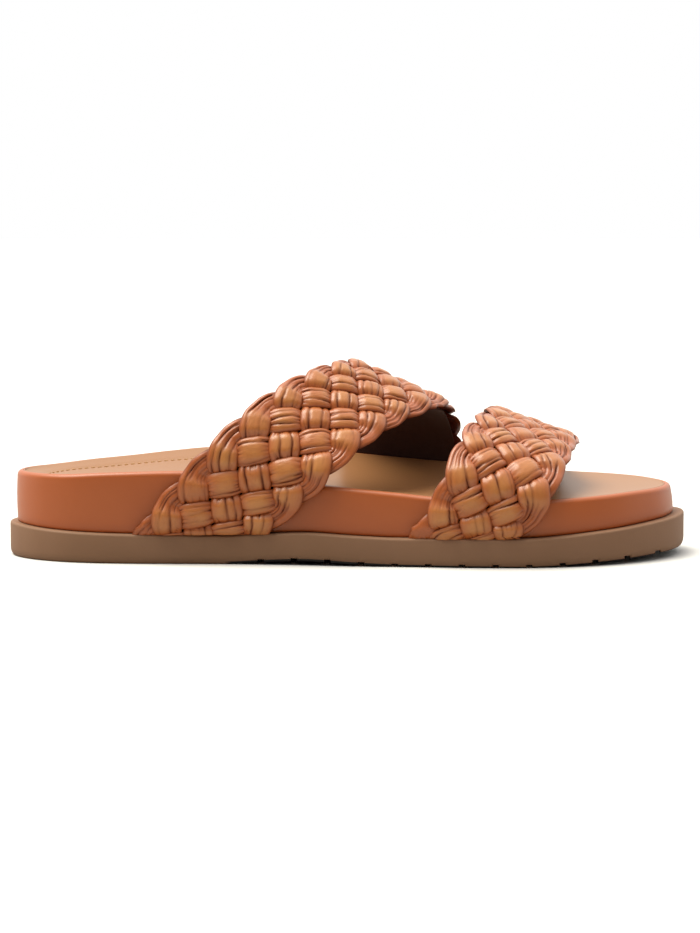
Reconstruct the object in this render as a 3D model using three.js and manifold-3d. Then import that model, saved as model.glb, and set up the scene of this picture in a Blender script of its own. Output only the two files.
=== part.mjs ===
// A flatform slide sandal for the right foot, EU size 38: a rubber outsole with a ledge, a leather wrapped
// wedge midsole, a contoured insole and two braided straps whose ends are held in under the midsole.
// Millimetres, +X to the toe, +Y to the inner (medial) side, +Z up.
import * as THREE from "three";
import { mergeVertices } from "three/addons/utils/BufferGeometryUtils.js";
import Module from "manifold-3d";

const wasm = await Module();
wasm.setup();

// Footbed
const bedLength = 254.5; // heel tip to toe tip
const heelWidth = 63;
const waistWidth = 69;
const ballWidth = 88;
const heelHeight = 34.6; // outer rim over the floor, at the heel
const ballHeight = 25; // the same at the ball
const cupDepth = 4.2; // hollow of the footbed at the heel
const archDepth = 5;
const treadDepth = 1.2; // hollow at the ball
const hollowFlatness = 2.4; // exponent of the footbed's cross section
const insoleThickness = 2;
const rimRound = 1.6; // rounding of the midsole's rim
const rimLand = 0.6; // flat of the rim inside its rounding
const toeDraft = 0.9; // how far the toe wall leans back
const clearance = 0.3; // between pieces that touch

// Outsole
const ledgeHeel = 2.9; // how far it stands out, at the heel tip
const ledgeToe = 4.3; // and at the toe tip
const outsoleWall = 10.8;
const heelSweep = 2.3; // extra height of the wall at the heel tip
const toeSweep = 2.4; // and at the toe tip
const toeSpring = 3;
const archLift = 1.5; // how far the waist clears the floor
const ledgeRound = 0.9;
const footBevelHeight = 3;
const footBevelInset = 1.5;
const grooveDepth = 1.3;
const grooveWidth = 2.4;
const groovePitch = 12.6;
const heelGrooveLength = 36;
const grooveWaist = 0.36; // share of the length behind which the grooves stay short

// Straps
const instepHeight = 72.6; // inside of the rear strap at its highest, over the floor
const ridgeOffset = 3; // how far the straps' ridges lie to the inner side
const ridgeBlend = 0.2; // share of a side over which a strap turns at its ridge
const strapRise = 1; // straight run of a strap above the rim, before its arch
const strapWall = 1.9; // backing of a braid
const strapRelief = 2.4; // how far its strips stand up
const stripFullness = 2.2; // exponent of a strip's bulge
const loopThinning = 0.75; // share of the relief that is gone at the edges
const loopDip = 0.5; // how far the edge lies in between two loops, in strips
const loopReach = 0.42; // how far a loop stands out from there
const stripPitch = 15.8; // from one strip to the next along a strap
const crownStart = 0.45; // share of a side above which the strips draw together
const tuckLength = 12; // strap end under the midsole
const tuckThickness = 2;
const strips = 6;

// Fineness of the surfaces
const stations = 38; // points along each side of the sole
const fine = 3; // grid steps of a strap's outer face for each strip
const archSteps = 40;
const braidSteps = 80;
const weld = 0.001; // points closer than this are one

const outsoleLength = ledgeHeel + bedLength + ledgeToe;

// Half widths of the footbed, as shares of the width that each row follows
const plan = [
  { at: 0, width: heelWidth, outer: 0, inner: 0 },
  { at: 0.02, width: heelWidth, outer: 0.235, inner: 0.235 },
  { at: 0.05, width: heelWidth, outer: 0.355, inner: 0.355 },
  { at: 0.1, width: heelWidth, outer: 0.455, inner: 0.44 },
  { at: 0.15, width: heelWidth, outer: 0.495, inner: 0.475 },
  { at: 0.2, width: heelWidth, outer: 0.51, inner: 0.483 },
  { at: 0.3, width: heelWidth, outer: 0.517, inner: 0.467 },
  { at: 0.4, width: waistWidth, outer: 0.508, inner: 0.415 },
  { at: 0.5, width: waistWidth, outer: 0.569, inner: 0.438 },
  { at: 0.6, width: ballWidth, outer: 0.472, inner: 0.386 },
  { at: 0.68, width: ballWidth, outer: 0.5, inner: 0.455 },
  { at: 0.75, width: ballWidth, outer: 0.506, inner: 0.494 },
  { at: 0.8, width: ballWidth, outer: 0.489, inner: 0.506 },
  { at: 0.85, width: ballWidth, outer: 0.449, inner: 0.494 },
  { at: 0.9, width: ballWidth, outer: 0.375, inner: 0.455 },
  { at: 0.95, width: ballWidth, outer: 0.25, inner: 0.364 },
  { at: 0.98, width: ballWidth, outer: 0.136, inner: 0.273 },
  { at: 1, width: ballWidth, outer: -0.1, inner: 0.1 },
];

// Height of the rims over ballHeight, as shares of the drop from heel to ball
const outerRim = [
  { at: 0, rise: 0.8 },
  { at: 0.07, rise: 0.84 },
  { at: 0.14, rise: 0.95 },
  { at: 0.25, rise: 1.03 },
  { at: 0.36, rise: 0.82 },
  { at: 0.48, rise: 0.49 },
  { at: 0.57, rise: 0.27 },
  { at: 0.64, rise: 0.1 },
  { at: 0.79, rise: 0.01 },
  { at: 0.88, rise: 0.09 },
  { at: 0.94, rise: 0.16 },
  { at: 1, rise: 0.18 },
];
const innerRim = [
  { at: 0, rise: 0.8 },
  { at: 0.03, rise: 0.8 },
  { at: 0.11, rise: 0.96 },
  { at: 0.17, rise: 1.1 },
  { at: 0.23, rise: 1.28 },
  { at: 0.29, rise: 1.43 },
  { at: 0.37, rise: 1.5 },
  { at: 0.46, rise: 1.32 },
  { at: 0.58, rise: 0.97 },
  { at: 0.7, rise: 0.61 },
  { at: 0.8, rise: 0.38 },
  { at: 0.87, rise: 0.28 },
  { at: 0.95, rise: 0.24 },
  { at: 1, rise: 0.18 },
];

// Hollow of the footbed, as shares of the three depths
const hollows = [
  { at: 0, cup: 0.05, arch: 0, tread: 0 },
  { at: 0.06, cup: 0.6, arch: 0, tread: 0 },
  { at: 0.15, cup: 1, arch: 0, tread: 0 },
  { at: 0.28, cup: 0.75, arch: 0.3, tread: 0 },
  { at: 0.38, cup: 0.3, arch: 0.9, tread: 0 },
  { at: 0.5, cup: 0, arch: 0.9, tread: 0.2 },
  { at: 0.62, cup: 0, arch: 0.35, tread: 0.8 },
  { at: 0.75, cup: 0, arch: 0, tread: 1 },
  { at: 0.9, cup: 0, arch: 0, tread: 0.9 },
  { at: 1, cup: 0, arch: 0, tread: 0.1 },
];

// Underside and wall of the outsole, as shares of its lift, spring and sweeps
const keel = [
  { at: 0, arch: 0, toe: 0, heelWall: 1, toeWall: 0 },
  { at: 0.07, arch: 0, toe: 0, heelWall: 0.52, toeWall: 0 },
  { at: 0.15, arch: 0, toe: 0, heelWall: 0.22, toeWall: 0 },
  { at: 0.32, arch: 0, toe: 0, heelWall: 0, toeWall: 0 },
  { at: 0.38, arch: 0.6, toe: 0, heelWall: 0, toeWall: 0 },
  { at: 0.44, arch: 1, toe: 0, heelWall: 0, toeWall: 0 },
  { at: 0.51, arch: 0.4, toe: 0, heelWall: 0, toeWall: 0 },
  { at: 0.57, arch: 0, toe: 0, heelWall: 0, toeWall: 0 },
  { at: 0.745, arch: 0, toe: 0, heelWall: 0, toeWall: 0.05 },
  { at: 0.87, arch: 0, toe: 0.45, heelWall: 0, toeWall: 0.35 },
  { at: 0.94, arch: 0, toe: 0.75, heelWall: 0, toeWall: 0.66 },
  { at: 1, arch: 0, toe: 1, heelWall: 0, toeWall: 1 },
];

// The rear and front edge of each strap: places as shares of outsoleLength, how far it bows forward over
// the outer side as such a share, height as a share of instepHeight, and the exponent of its arch, where 2
// is an ellipse. start is the braid's row at the outer foot, skew its lean, and crown its pitch at the
// ridge as a share of stripPitch
const straps = [
  {
    name: "rear_strap",
    start: 0.29,
    skew: 0.712,
    crown: 0.79,
    rear: { outerFoot: 0.19, bow: -0.02, ridge: 0.497, innerFoot: 0.49, height: 0.995, arch: 2.11 },
    front: { outerFoot: 0.392, bow: 0.015, ridge: 0.645, innerFoot: 0.7, height: 0.743, arch: 1.75 },
  },
  {
    name: "front_strap",
    start: -0.8,
    skew: 0.474,
    crown: 1.04,
    rear: { outerFoot: 0.588, bow: 0.01, ridge: 0.706, innerFoot: 0.69, height: 0.724, arch: 2.4 },
    front: { outerFoot: 0.75, bow: 0.025, ridge: 0.844, innerFoot: 0.816, height: 0.549, arch: 1.91 },
  },
];

function mix(from, to, share) {
  return from + (to - from) * share;
}

function clamp(value, low, high) {
  return Math.min(high, Math.max(low, value));
}

// Smooth curve through one column of a table, with no overshoot between its rows
function along(rows, column, at, key = (row) => row.at) {
  const last = rows.length - 1;
  let i = 0;
  while (i < last - 1 && key(rows[i + 1]) < at) i += 1;
  const slope = (k) => (column(rows[k + 1]) - column(rows[k])) / (key(rows[k + 1]) - key(rows[k]));
  const tangent = (k) => {
    if (k === 0) return slope(0);
    if (k === last) return slope(last - 1);
    const before = slope(k - 1);
    const after = slope(k);
    return before * after <= 0 ? 0 : (2 * before * after) / (before + after);
  };
  const span = key(rows[i + 1]) - key(rows[i]);
  const t = clamp((at - key(rows[i])) / span, 0, 1);
  const t2 = t * t;
  const t3 = t2 * t;
  return (
    (2 * t3 - 3 * t2 + 1) * column(rows[i]) +
    (t3 - 2 * t2 + t) * span * tangent(i) +
    (3 * t2 - 2 * t3) * column(rows[i + 1]) +
    (t3 - t2) * span * tangent(i + 1)
  );
}

// The footbed's tips are round, so its plan is a curve over this angle instead of over the length
function turn(share) {
  return Math.acos(1 - 2 * clamp(share, 0, 1));
}

function bedShare(x) {
  return (x - ledgeHeel) / bedLength;
}

function halfWidth(side, share) {
  return along(plan, (row) => row.width * row[side], turn(share), (row) => turn(row.at));
}

function rimHeight(side, share) {
  const rows = side === "outer" ? outerRim : innerRim;
  return ballHeight + (heelHeight - ballHeight) * along(rows, (row) => row.rise, share);
}

function hollow(share) {
  const cup = cupDepth * along(hollows, (row) => row.cup, share);
  const arch = archDepth * along(hollows, (row) => row.arch, share);
  return cup + arch + treadDepth * along(hollows, (row) => row.tread, share);
}

// Top of the footbed, across from the outer rim (-1) to the inner rim (1)
function bedHeight(share, across) {
  const rims = mix(rimHeight("outer", share), rimHeight("inner", share), (across + 1) / 2);
  return rims - hollow(share) * (1 - Math.abs(across) ** hollowFlatness);
}

function floorHeight(x) {
  const at = x / outsoleLength;
  return archLift * along(keel, (row) => row.arch, at) + toeSpring * along(keel, (row) => row.toe, at);
}

function ledgeHeight(x) {
  const at = x / outsoleLength;
  const sweep = heelSweep * along(keel, (row) => row.heelWall, at);
  return floorHeight(x) + outsoleWall + sweep + toeSweep * along(keel, (row) => row.toeWall, at);
}

function draft(share) {
  return toeDraft * clamp(share, 0, 1) ** 4;
}

function planPoint(side, share) {
  const sign = side === "outer" ? -1 : 1;
  return new THREE.Vector2(ledgeHeel + bedLength * share, sign * halfWidth(side, share));
}

// Direction from the plan's edge to its inside, square to the edge
function inwardAt(side, share) {
  if (share === 0 || share === 1) return new THREE.Vector2(share === 0 ? 1 : -1, 0);
  const step = 1e-4;
  const way = planPoint(side, clamp(share + step, 0, 1)).sub(planPoint(side, clamp(share - step, 0, 1)));
  way.normalize();
  return side === "outer" ? new THREE.Vector2(-way.y, way.x) : new THREE.Vector2(way.y, -way.x);
}

// Ring of points round the footbed's plan, moved in by inset; a station has an outer and an inner point
function ringPoint(side, station, inset) {
  const share = (1 - Math.cos((Math.PI * station) / stations)) / 2;
  const point = planPoint(side, share).addScaledVector(inwardAt(side, share), inset(share));
  return { share, x: point.x, y: point.y };
}

function ring(inset, height) {
  const outer = [];
  const inner = [];
  for (let station = 0; station <= stations; station += 1) {
    for (const side of ["outer", "inner"]) {
      const { share, x, y } = ringPoint(side, station, inset);
      const point = new THREE.Vector3(x, y, height(x, share, side));
      (side === "outer" ? outer : inner).push(point);
    }
  }
  return { outer, inner };
}

// Triangles of one closed body, gathered face by face
class Skin {
  constructor() {
    this.corners = [];
  }

  triangle(a, b, c) {
    const area = b.clone().sub(a).cross(c.clone().sub(a)).length();
    if (area > 1e-7) this.corners.push(a, b, c);
  }

  quad(a, b, c, d) {
    this.triangle(a, b, c);
    this.triangle(a, c, d);
  }

  geometry() {
    const geometry = new THREE.BufferGeometry().setFromPoints(this.corners);
    return mergeVertices(geometry, weld);
  }
}

// Wall between two rings, the lower one first
function addWall(skin, low, high) {
  for (let i = 0; i < stations; i += 1) {
    skin.quad(low.outer[i], low.outer[i + 1], high.outer[i + 1], high.outer[i]);
    skin.quad(low.inner[i + 1], low.inner[i], high.inner[i], high.inner[i + 1]);
  }
}

// Face that spans a ring from its outer to its inner side
function addFace(skin, edge, columns, height, up) {
  const place = (i, j) => {
    if (j === 0 || i === 0 || i === stations) return edge.outer[i];
    if (j === columns) return edge.inner[i];
    const point = edge.outer[i].clone().lerp(edge.inner[i], j / columns);
    point.z = height(point.x, bedShare(point.x), (2 * j) / columns - 1);
    return point;
  };
  for (let i = 0; i < stations; i += 1) {
    for (let j = 0; j < columns; j += 1) {
      const corners = [place(i, j), place(i + 1, j), place(i + 1, j + 1), place(i, j + 1)];
      if (!up) corners.reverse();
      skin.quad(...corners);
    }
  }
}

function solidOf(geometry) {
  const bare = geometry.clone();
  bare.deleteAttribute("normal");
  bare.deleteAttribute("uv");
  const merged = mergeVertices(bare, weld);
  const vertProperties = new Float32Array(merged.attributes.position.array);
  const triVerts = new Uint32Array(merged.index.array);
  return new wasm.Manifold(new wasm.Mesh({ numProp: 3, vertProperties, triVerts }));
}

function geometryOf(solid) {
  const mesh = solid.getMesh();
  const geometry = new THREE.BufferGeometry();
  geometry.setAttribute("position", new THREE.BufferAttribute(new Float32Array(mesh.vertProperties), 3));
  geometry.setIndex(new THREE.BufferAttribute(new Uint32Array(mesh.triVerts), 1));
  return geometry;
}

// Outsole: foot bevel, wall and rounded ledge, with grooves across its tread
function outsoleGeometry() {
  const ledge = (share) => -mix(ledgeHeel, ledgeToe, clamp(share, 0, 1));
  const rings = [
    ring((share) => ledge(share) + footBevelInset, (x) => floorHeight(x)),
    ring(ledge, (x) => floorHeight(x) + footBevelHeight),
    ring(ledge, (x) => ledgeHeight(x) - ledgeRound),
    ring((share) => ledge(share) + 0.3 * ledgeRound, (x) => ledgeHeight(x) - 0.3 * ledgeRound),
    ring((share) => ledge(share) + ledgeRound, (x) => ledgeHeight(x)),
  ];
  const skin = new Skin();
  addFace(skin, rings[0], 2, (x) => floorHeight(x), false);
  for (let i = 0; i < rings.length - 1; i += 1) addWall(skin, rings[i], rings[i + 1]);
  addFace(skin, rings[rings.length - 1], 2, (x) => ledgeHeight(x), true);
  let solid = solidOf(skin.geometry());
  for (const groove of grooves()) solid = solid.subtract(solidOf(groove));
  return geometryOf(solid);
}

function grooves() {
  const cuts = [];
  const count = Math.floor((outsoleLength - groovePitch) / groovePitch);
  for (let i = 1; i <= count; i += 1) {
    const x = outsoleLength - i * groovePitch;
    const length = x > grooveWaist * outsoleLength ? 2 * ballWidth : heelGrooveLength;
    const cut = new THREE.BoxGeometry(grooveWidth, length, 2 * grooveDepth);
    cut.translate(x, 0, floorHeight(x));
    cuts.push(cut);
  }
  return cuts;
}

// Midsole: wrapped wedge with a soft rim, a seat for the insole and a pocket for each strap end
function midsoleGeometry() {
  const rim = (x, share, side) => rimHeight(side, share);
  const seatInset = (share) => draft(share) + rimRound + rimLand;
  const seat = insoleThickness + clearance;
  const foot = ring(() => 0, (x) => ledgeHeight(x) + clearance);
  const rings = [
    foot,
    ring(draft, (x, share, side) => rim(x, share, side) - rimRound),
    ring((share) => draft(share) + 0.3 * rimRound, (x, share, side) => rim(x, share, side) - 0.3 * rimRound),
    ring((share) => draft(share) + rimRound, rim),
    ring(seatInset, rim),
    ring(seatInset, (x, share, side) => rim(x, share, side) - seat),
  ];
  const skin = new Skin();
  addFace(skin, foot, 2, (x) => ledgeHeight(x) + clearance, false);
  for (let i = 0; i < rings.length - 1; i += 1) addWall(skin, rings[i], rings[i + 1]);
  addFace(skin, rings[rings.length - 1], 6, (x, share, across) => bedHeight(share, across) - seat, true);
  let solid = solidOf(skin.geometry());
  for (const strap of straps) {
    for (const side of ["outer", "inner"]) solid = solid.subtract(solidOf(pocketGeometry(strap, side)));
  }
  return geometryOf(solid);
}

// Insole: contoured cover of even thickness
function insoleGeometry() {
  const inset = (share) => draft(share) + rimRound + rimLand + clearance;
  const top = ring(inset, (x, share, side) => rimHeight(side, share));
  const bottom = ring(inset, (x, share, side) => rimHeight(side, share) - insoleThickness);
  const skin = new Skin();
  addFace(skin, bottom, 6, (x, share, across) => bedHeight(share, across) - insoleThickness, false);
  addWall(skin, bottom, top);
  addFace(skin, top, 6, (x, share, across) => bedHeight(share, across), true);
  return skin.geometry();
}

// Where a strap's wall meets the midsole, at a distance off it
function wallLine(side, x, off) {
  const sign = side === "outer" ? -1 : 1;
  return sign * (halfWidth(side, bedShare(x)) + off);
}

function edgeValue(strap, column, across) {
  return mix(strap.rear[column], strap.front[column], (across + strips / 2) / strips);
}

// Bow of an edge over the outer side: 0 at the foot and from the ridge on, 1 at a third of the way
function bowAt(place) {
  const up = clamp(place, 0, 1);
  return (27 / 4) * up * (1 - up) ** 2;
}

// Length along the sole at a place on a strap: along runs from the outer foot (0) over the ridge (1)
// to the inner foot (2), across from the rear edge (-strips / 2) to the front edge
function strapX(strap, across, place) {
  const rise = edgeValue(strap, "ridge", across) - edgeValue(strap, "outerFoot", across);
  const fall = edgeValue(strap, "innerFoot", across) - edgeValue(strap, "ridge", across);
  const past = place - 1;
  const soft = Math.abs(past) < ridgeBlend ? (past + ridgeBlend) ** 2 / (4 * ridgeBlend) : Math.max(past, 0);
  const straight = edgeValue(strap, "outerFoot", across) + rise * (place - soft) + fall * soft;
  return outsoleLength * (straight + edgeValue(strap, "bow", across) * bowAt(place));
}

// Section of a strap over one side: up the midsole's wall, then an arch to the ridge
function sectionPoint(strap, across, side, x, share) {
  const foot = ledgeHeight(x) + clearance;
  const wallTop = rimHeight(side, bedShare(x)) + strapRise;
  const rise = Math.max(instepHeight * edgeValue(strap, "height", across) - wallTop, 1);
  const reach = Math.abs(wallLine(side, x, clearance) - ridgeOffset);
  const power = 2 / edgeValue(strap, "arch", across);
  const points = [{ out: 1, up: foot }];
  for (let i = 0; i <= archSteps; i += 1) {
    const angle = (Math.PI * i) / (2 * archSteps);
    const out = i === archSteps ? 0 : Math.cos(angle) ** power;
    points.push({ out, up: wallTop + rise * Math.sin(angle) ** power });
  }
  const lengths = [0];
  for (let i = 1; i < points.length; i += 1) {
    const step = Math.hypot((points[i].out - points[i - 1].out) * reach, points[i].up - points[i - 1].up);
    lengths.push(lengths[i - 1] + step);
  }
  const goal = share * lengths[lengths.length - 1];
  let i = 1;
  while (i < lengths.length - 1 && lengths[i] < goal) i += 1;
  const t = (goal - lengths[i - 1]) / (lengths[i] - lengths[i - 1]);
  return {
    out: mix(points[i - 1].out, points[i].out, t),
    up: mix(points[i - 1].up, points[i].up, t),
  };
}

function strapPoint(strap, across, place) {
  const side = place <= 1 ? "outer" : "inner";
  const share = place <= 1 ? place : 2 - place;
  const x = strapX(strap, across, place);
  const { out, up } = sectionPoint(strap, across, side, x, share);
  return new THREE.Vector3(x, mix(ridgeOffset, wallLine(side, x, clearance), out), up);
}

function strapNormal(strap, across, place) {
  const step = 0.01;
  const low = clamp(place, step, 2 - step) - step;
  const ahead = strapPoint(strap, across, low + 2 * step).sub(strapPoint(strap, across, low));
  const side = strapPoint(strap, across + step, place).sub(strapPoint(strap, across - step, place));
  return side.cross(ahead).normalize();
}

// Pitch of the strips at a place on a strap: they draw together towards the ridge
function pitchAt(strap, place) {
  const drawn = clamp((1 - Math.abs(place - 1) - crownStart) / (1 - crownStart), 0, 1);
  return stripPitch * mix(1, strap.crown, drawn);
}

// Rows of the braid along a strap's middle line, two for each pitch, and how far they lean
function braidScale(strap) {
  const table = [{ at: 0, row: strap.start, lean: 0 }];
  for (let i = 1; i <= braidSteps; i += 1) {
    const before = (2 * (i - 1)) / braidSteps;
    const after = (2 * i) / braidSteps;
    const step = strapPoint(strap, 0, after).sub(strapPoint(strap, 0, before));
    const lean = (strap.skew * step.x) / step.length();
    const pitch = pitchAt(strap, (before + after) / 2);
    table.push({ at: after, row: table[i - 1].row + (2 * step.length()) / pitch, lean });
  }
  table[0].lean = table[1].lean;
  return table;
}

function braidRow(strap, table, across, place) {
  const i = clamp(Math.floor((place / 2) * (table.length - 1)), 0, table.length - 2);
  const t = (place - table[i].at) / (table[i + 1].at - table[i].at);
  const width = strapX(strap, 0.5, place) - strapX(strap, -0.5, place);
  const lean = mix(table[i].lean, table[i + 1].lean, t);
  return mix(table[i].row, table[i + 1].row, t) + (2 * width * lean * across) / stripPitch;
}

// The strips turn back at the edges, in loops
function loopEdge(across, row) {
  const turnLine = strips / 2 - 1;
  const loop = 1 - loopDip + loopReach * Math.cos((Math.PI * (row - strips / 2)) / 2) ** 2;
  const past = Math.abs(across) - turnLine;
  return past <= 0 ? across : Math.sign(across) * (turnLine + past * loop);
}

// Each strip bulges where it lies over another, and dips at their crossing lines
function stripHeight(across, row) {
  const a = across + row;
  const b = across - row;
  const fromCentre = (value) => value - 2 * Math.round(value / 2);
  const dip = (value) => 1 - Math.abs(fromCentre(value)) ** stripFullness;
  const past = Math.max(Math.abs(across) - (strips / 2 - 1), 0);
  return strapRelief * Math.sqrt(Math.max(dip(a) * dip(b), 0)) * (1 - loopThinning * past ** 2);
}

function findPlace(strap, table, across, row) {
  let low = -0.5;
  let high = 2.5;
  for (let i = 0; i < 30; i += 1) {
    const middle = (low + high) / 2;
    if (braidRow(strap, table, across, middle) < row) low = middle;
    else high = middle;
  }
  return (low + high) / 2;
}

// Place and row of a grid corner, held to the strap's feet
function gridSpot(strap, table, column, line) {
  let row = line;
  let across = loopEdge(column, row);
  let place = findPlace(strap, table, across, row);
  if (place < 0 || place > 2) {
    place = clamp(place, 0, 2);
    for (let i = 0; i < 12; i += 1) {
      row = braidRow(strap, table, across, place);
      across = loopEdge(column, row);
    }
  }
  return { across, row, place };
}

// One wall with raised strips; its ends fold in under the midsole
function strapGeometry(strap) {
  const table = braidScale(strap);
  const half = strips / 2;
  const firstLine = Math.floor(Math.min(...[-half, half].map((t) => braidRow(strap, table, t, 0)))) - 1;
  const lastLine = Math.ceil(Math.max(...[-half, half].map((t) => braidRow(strap, table, t, 2)))) + 1;
  const outer = [];
  const inner = [];
  for (let line = firstLine * fine; line <= lastLine * fine; line += 1) {
    const over = [];
    const under = [];
    for (let column = -half * fine; column <= half * fine; column += 1) {
      const spot = gridSpot(strap, table, column / fine, line / fine);
      const point = strapPoint(strap, spot.across, spot.place);
      const normal = strapNormal(strap, spot.across, spot.place);
      const thickness = strapWall + stripHeight(spot.across, spot.row);
      const raised = point.clone().addScaledVector(normal, thickness);
      if (spot.place === 0 || spot.place === 2) {
        raised.z = ledgeHeight(point.x) + clearance;
        raised.x = point.x;
        point.z = raised.z + tuckThickness;
      }
      over.push(raised);
      if (column % fine === 0) under.push(point);
    }
    outer.push(over);
    inner.push(under);
  }
  addTuck(strap, outer, inner, "outer");
  addTuck(strap, outer, inner, "inner");
  return geometryOf(solidOf(closeStrap(outer, inner).geometry()));
}

// Two more rows at a foot: under the wall line, and at the end of the tucked part
function addTuck(strap, outer, inner, side) {
  const end = side === "outer" ? 0 : outer.length - 1;
  const sign = side === "outer" ? 1 : -1;
  const spots = outer[end].map((point) => ({ x: point.x, y: wallLine(side, point.x, clearance) }));
  const atWall = spots.map(({ x, y }) => new THREE.Vector3(x, y, ledgeHeight(x) + clearance));
  const atEnd = atWall.map((point) => new THREE.Vector3(point.x, point.y + sign * tuckLength, point.z));
  const over = inner[end].map((point) => point.clone());
  const up = new THREE.Vector3(0, 0, tuckThickness);
  const tip = atEnd.filter((point, i) => i % fine === 0).map((point) => point.clone().add(up));
  const place = side === "outer" ? "unshift" : "push";
  outer[place](atWall);
  inner[place](over);
  outer[place](atEnd);
  inner[place](tip);
}

function closeStrap(outer, inner) {
  const skin = new Skin();
  const rows = outer.length - 1;
  const columns = outer[0].length - 1;
  for (let i = 0; i < rows; i += 1) {
    for (let j = 0; j < columns; j += 1) {
      skin.quad(outer[i][j], outer[i][j + 1], outer[i + 1][j + 1], outer[i + 1][j]);
    }
    for (let j = 0; j < columns / fine; j += 1) {
      skin.quad(inner[i][j], inner[i + 1][j], inner[i + 1][j + 1], inner[i][j + 1]);
    }
    skin.quad(outer[i][0], outer[i + 1][0], inner[i + 1][0], inner[i][0]);
    const lastIn = columns / fine;
    skin.quad(outer[i + 1][columns], outer[i][columns], inner[i][lastIn], inner[i + 1][lastIn]);
  }
  addEnd(skin, outer[0], inner[0], false);
  addEnd(skin, outer[rows], inner[rows], true);
  return skin;
}

function addEnd(skin, fineRow, coarseRow, flip) {
  const put = (a, b, c) => (flip ? skin.triangle(a, c, b) : skin.triangle(a, b, c));
  for (let j = 0; j < coarseRow.length - 1; j += 1) {
    for (let k = 0; k < fine; k += 1) put(coarseRow[j], fineRow[j * fine + k + 1], fineRow[j * fine + k]);
    put(coarseRow[j], coarseRow[j + 1], fineRow[(j + 1) * fine]);
  }
}

// Room for one tucked strap end in the underside of the midsole
function pocketGeometry(strap, side) {
  const sign = side === "outer" ? 1 : -1;
  const place = side === "outer" ? 0 : 2;
  const rear = strapX(strap, -strips / 2, place) - clearance;
  const front = strapX(strap, strips / 2, place) + clearance;
  const steps = 6;
  const sections = [];
  for (let i = 0; i <= steps; i += 1) {
    const x = mix(rear, front, i / steps);
    const wall = wallLine(side, x, clearance);
    const outerY = wall - sign * strapWall;
    const innerY = wall + sign * (tuckLength + clearance);
    const low = ledgeHeight(x) - 1;
    const high = ledgeHeight(x) + tuckThickness + 2 * clearance;
    const corners = [[outerY, low], [innerY, low], [innerY, high], [outerY, high]];
    sections.push(corners.map(([y, z]) => new THREE.Vector3(x, y, z)));
  }
  const skin = new Skin();
  const put = (a, b, c, d) => (side === "outer" ? skin.quad(d, c, b, a) : skin.quad(a, b, c, d));
  for (let i = 0; i < steps; i += 1) {
    for (let k = 0; k < 4; k += 1) {
      const next = (k + 1) % 4;
      put(sections[i][next], sections[i][k], sections[i + 1][k], sections[i + 1][next]);
    }
  }
  put(...sections[0]);
  put(...[...sections[steps]].reverse());
  return skin.geometry();
}

const rubber = new THREE.MeshStandardMaterial({ color: 0x76563f, roughness: 0.75, metalness: 0 });
const wrapLeather = new THREE.MeshStandardMaterial({ color: 0xa8693f, roughness: 0.5, metalness: 0 });
const insoleLeather = new THREE.MeshStandardMaterial({ color: 0xcf9d78, roughness: 0.6, metalness: 0 });
const braidLeather = new THREE.MeshStandardMaterial({ color: 0xb0704a, roughness: 0.45, metalness: 0 });

function addPiece(group, name, geometry, material) {
  geometry.computeVertexNormals();
  const mesh = new THREE.Mesh(geometry, material);
  mesh.name = name;
  group.add(mesh);
}

const sandal = new THREE.Group();
addPiece(sandal, "outsole", outsoleGeometry(), rubber);
addPiece(sandal, "midsole", midsoleGeometry(), wrapLeather);
addPiece(sandal, "insole", insoleGeometry(), insoleLeather);
for (const strap of straps) addPiece(sandal, strap.name, strapGeometry(strap), braidLeather);

// The origin is on the floor, under the middle of the whole sandal
const box = new THREE.Box3().setFromObject(sandal);
const middle = box.getCenter(new THREE.Vector3());
sandal.position.set(-middle.x, -middle.y, -box.min.z);

export default sandal;
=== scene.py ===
import math
import random

import bmesh
import bpy
import numpy as np
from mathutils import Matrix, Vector, kdtree


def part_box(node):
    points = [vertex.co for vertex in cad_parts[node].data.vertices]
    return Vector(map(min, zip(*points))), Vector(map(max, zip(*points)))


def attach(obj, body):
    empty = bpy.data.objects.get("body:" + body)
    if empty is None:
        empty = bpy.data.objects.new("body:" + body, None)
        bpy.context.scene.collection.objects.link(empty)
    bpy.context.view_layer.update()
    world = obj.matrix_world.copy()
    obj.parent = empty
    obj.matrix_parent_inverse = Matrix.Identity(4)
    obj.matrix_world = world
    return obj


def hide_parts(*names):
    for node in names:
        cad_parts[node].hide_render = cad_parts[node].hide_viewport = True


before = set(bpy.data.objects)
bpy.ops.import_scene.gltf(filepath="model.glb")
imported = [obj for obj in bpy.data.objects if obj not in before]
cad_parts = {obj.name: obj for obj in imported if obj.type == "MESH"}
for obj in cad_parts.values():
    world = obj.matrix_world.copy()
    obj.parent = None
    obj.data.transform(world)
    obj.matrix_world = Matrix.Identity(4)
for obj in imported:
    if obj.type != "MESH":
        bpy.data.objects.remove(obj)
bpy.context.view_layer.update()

# Outsole: one moulding of taupe brown rubber that the whole sandal stands on. It stands out from the
# midsole as a ledge with a soft edge, and it is cemented to the midsole. Cross grooves are moulded into
# the tread, which lifts a little at the waist and springs up at the toe.
MM = 0.001
sole_low, sole_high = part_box("outsole")
bed_low, bed_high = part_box("midsole")
SOLE_LENGTH = (sole_high[0] - sole_low[0]) / MM
BED_LENGTH = (bed_high[0] - bed_low[0]) / MM
LEDGE_HEEL = (bed_low[0] - sole_low[0]) / MM
LEDGE_TOE = SOLE_LENGTH - BED_LENGTH - LEDGE_HEEL
HEEL_WIDTH = 63
WAIST_WIDTH = 69
BALL_WIDTH = 88
BALL_OUTER_SHARE = 0.506
SIDE_SHIFT = bed_low[1] / MM + BALL_WIDTH * BALL_OUTER_SHARE
WALL_HEIGHT = 10.8
HEEL_SWEEP = 2.3
TOE_SWEEP = 2.4
TOE_SPRING = 3
ARCH_LIFT = 1.5
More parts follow.
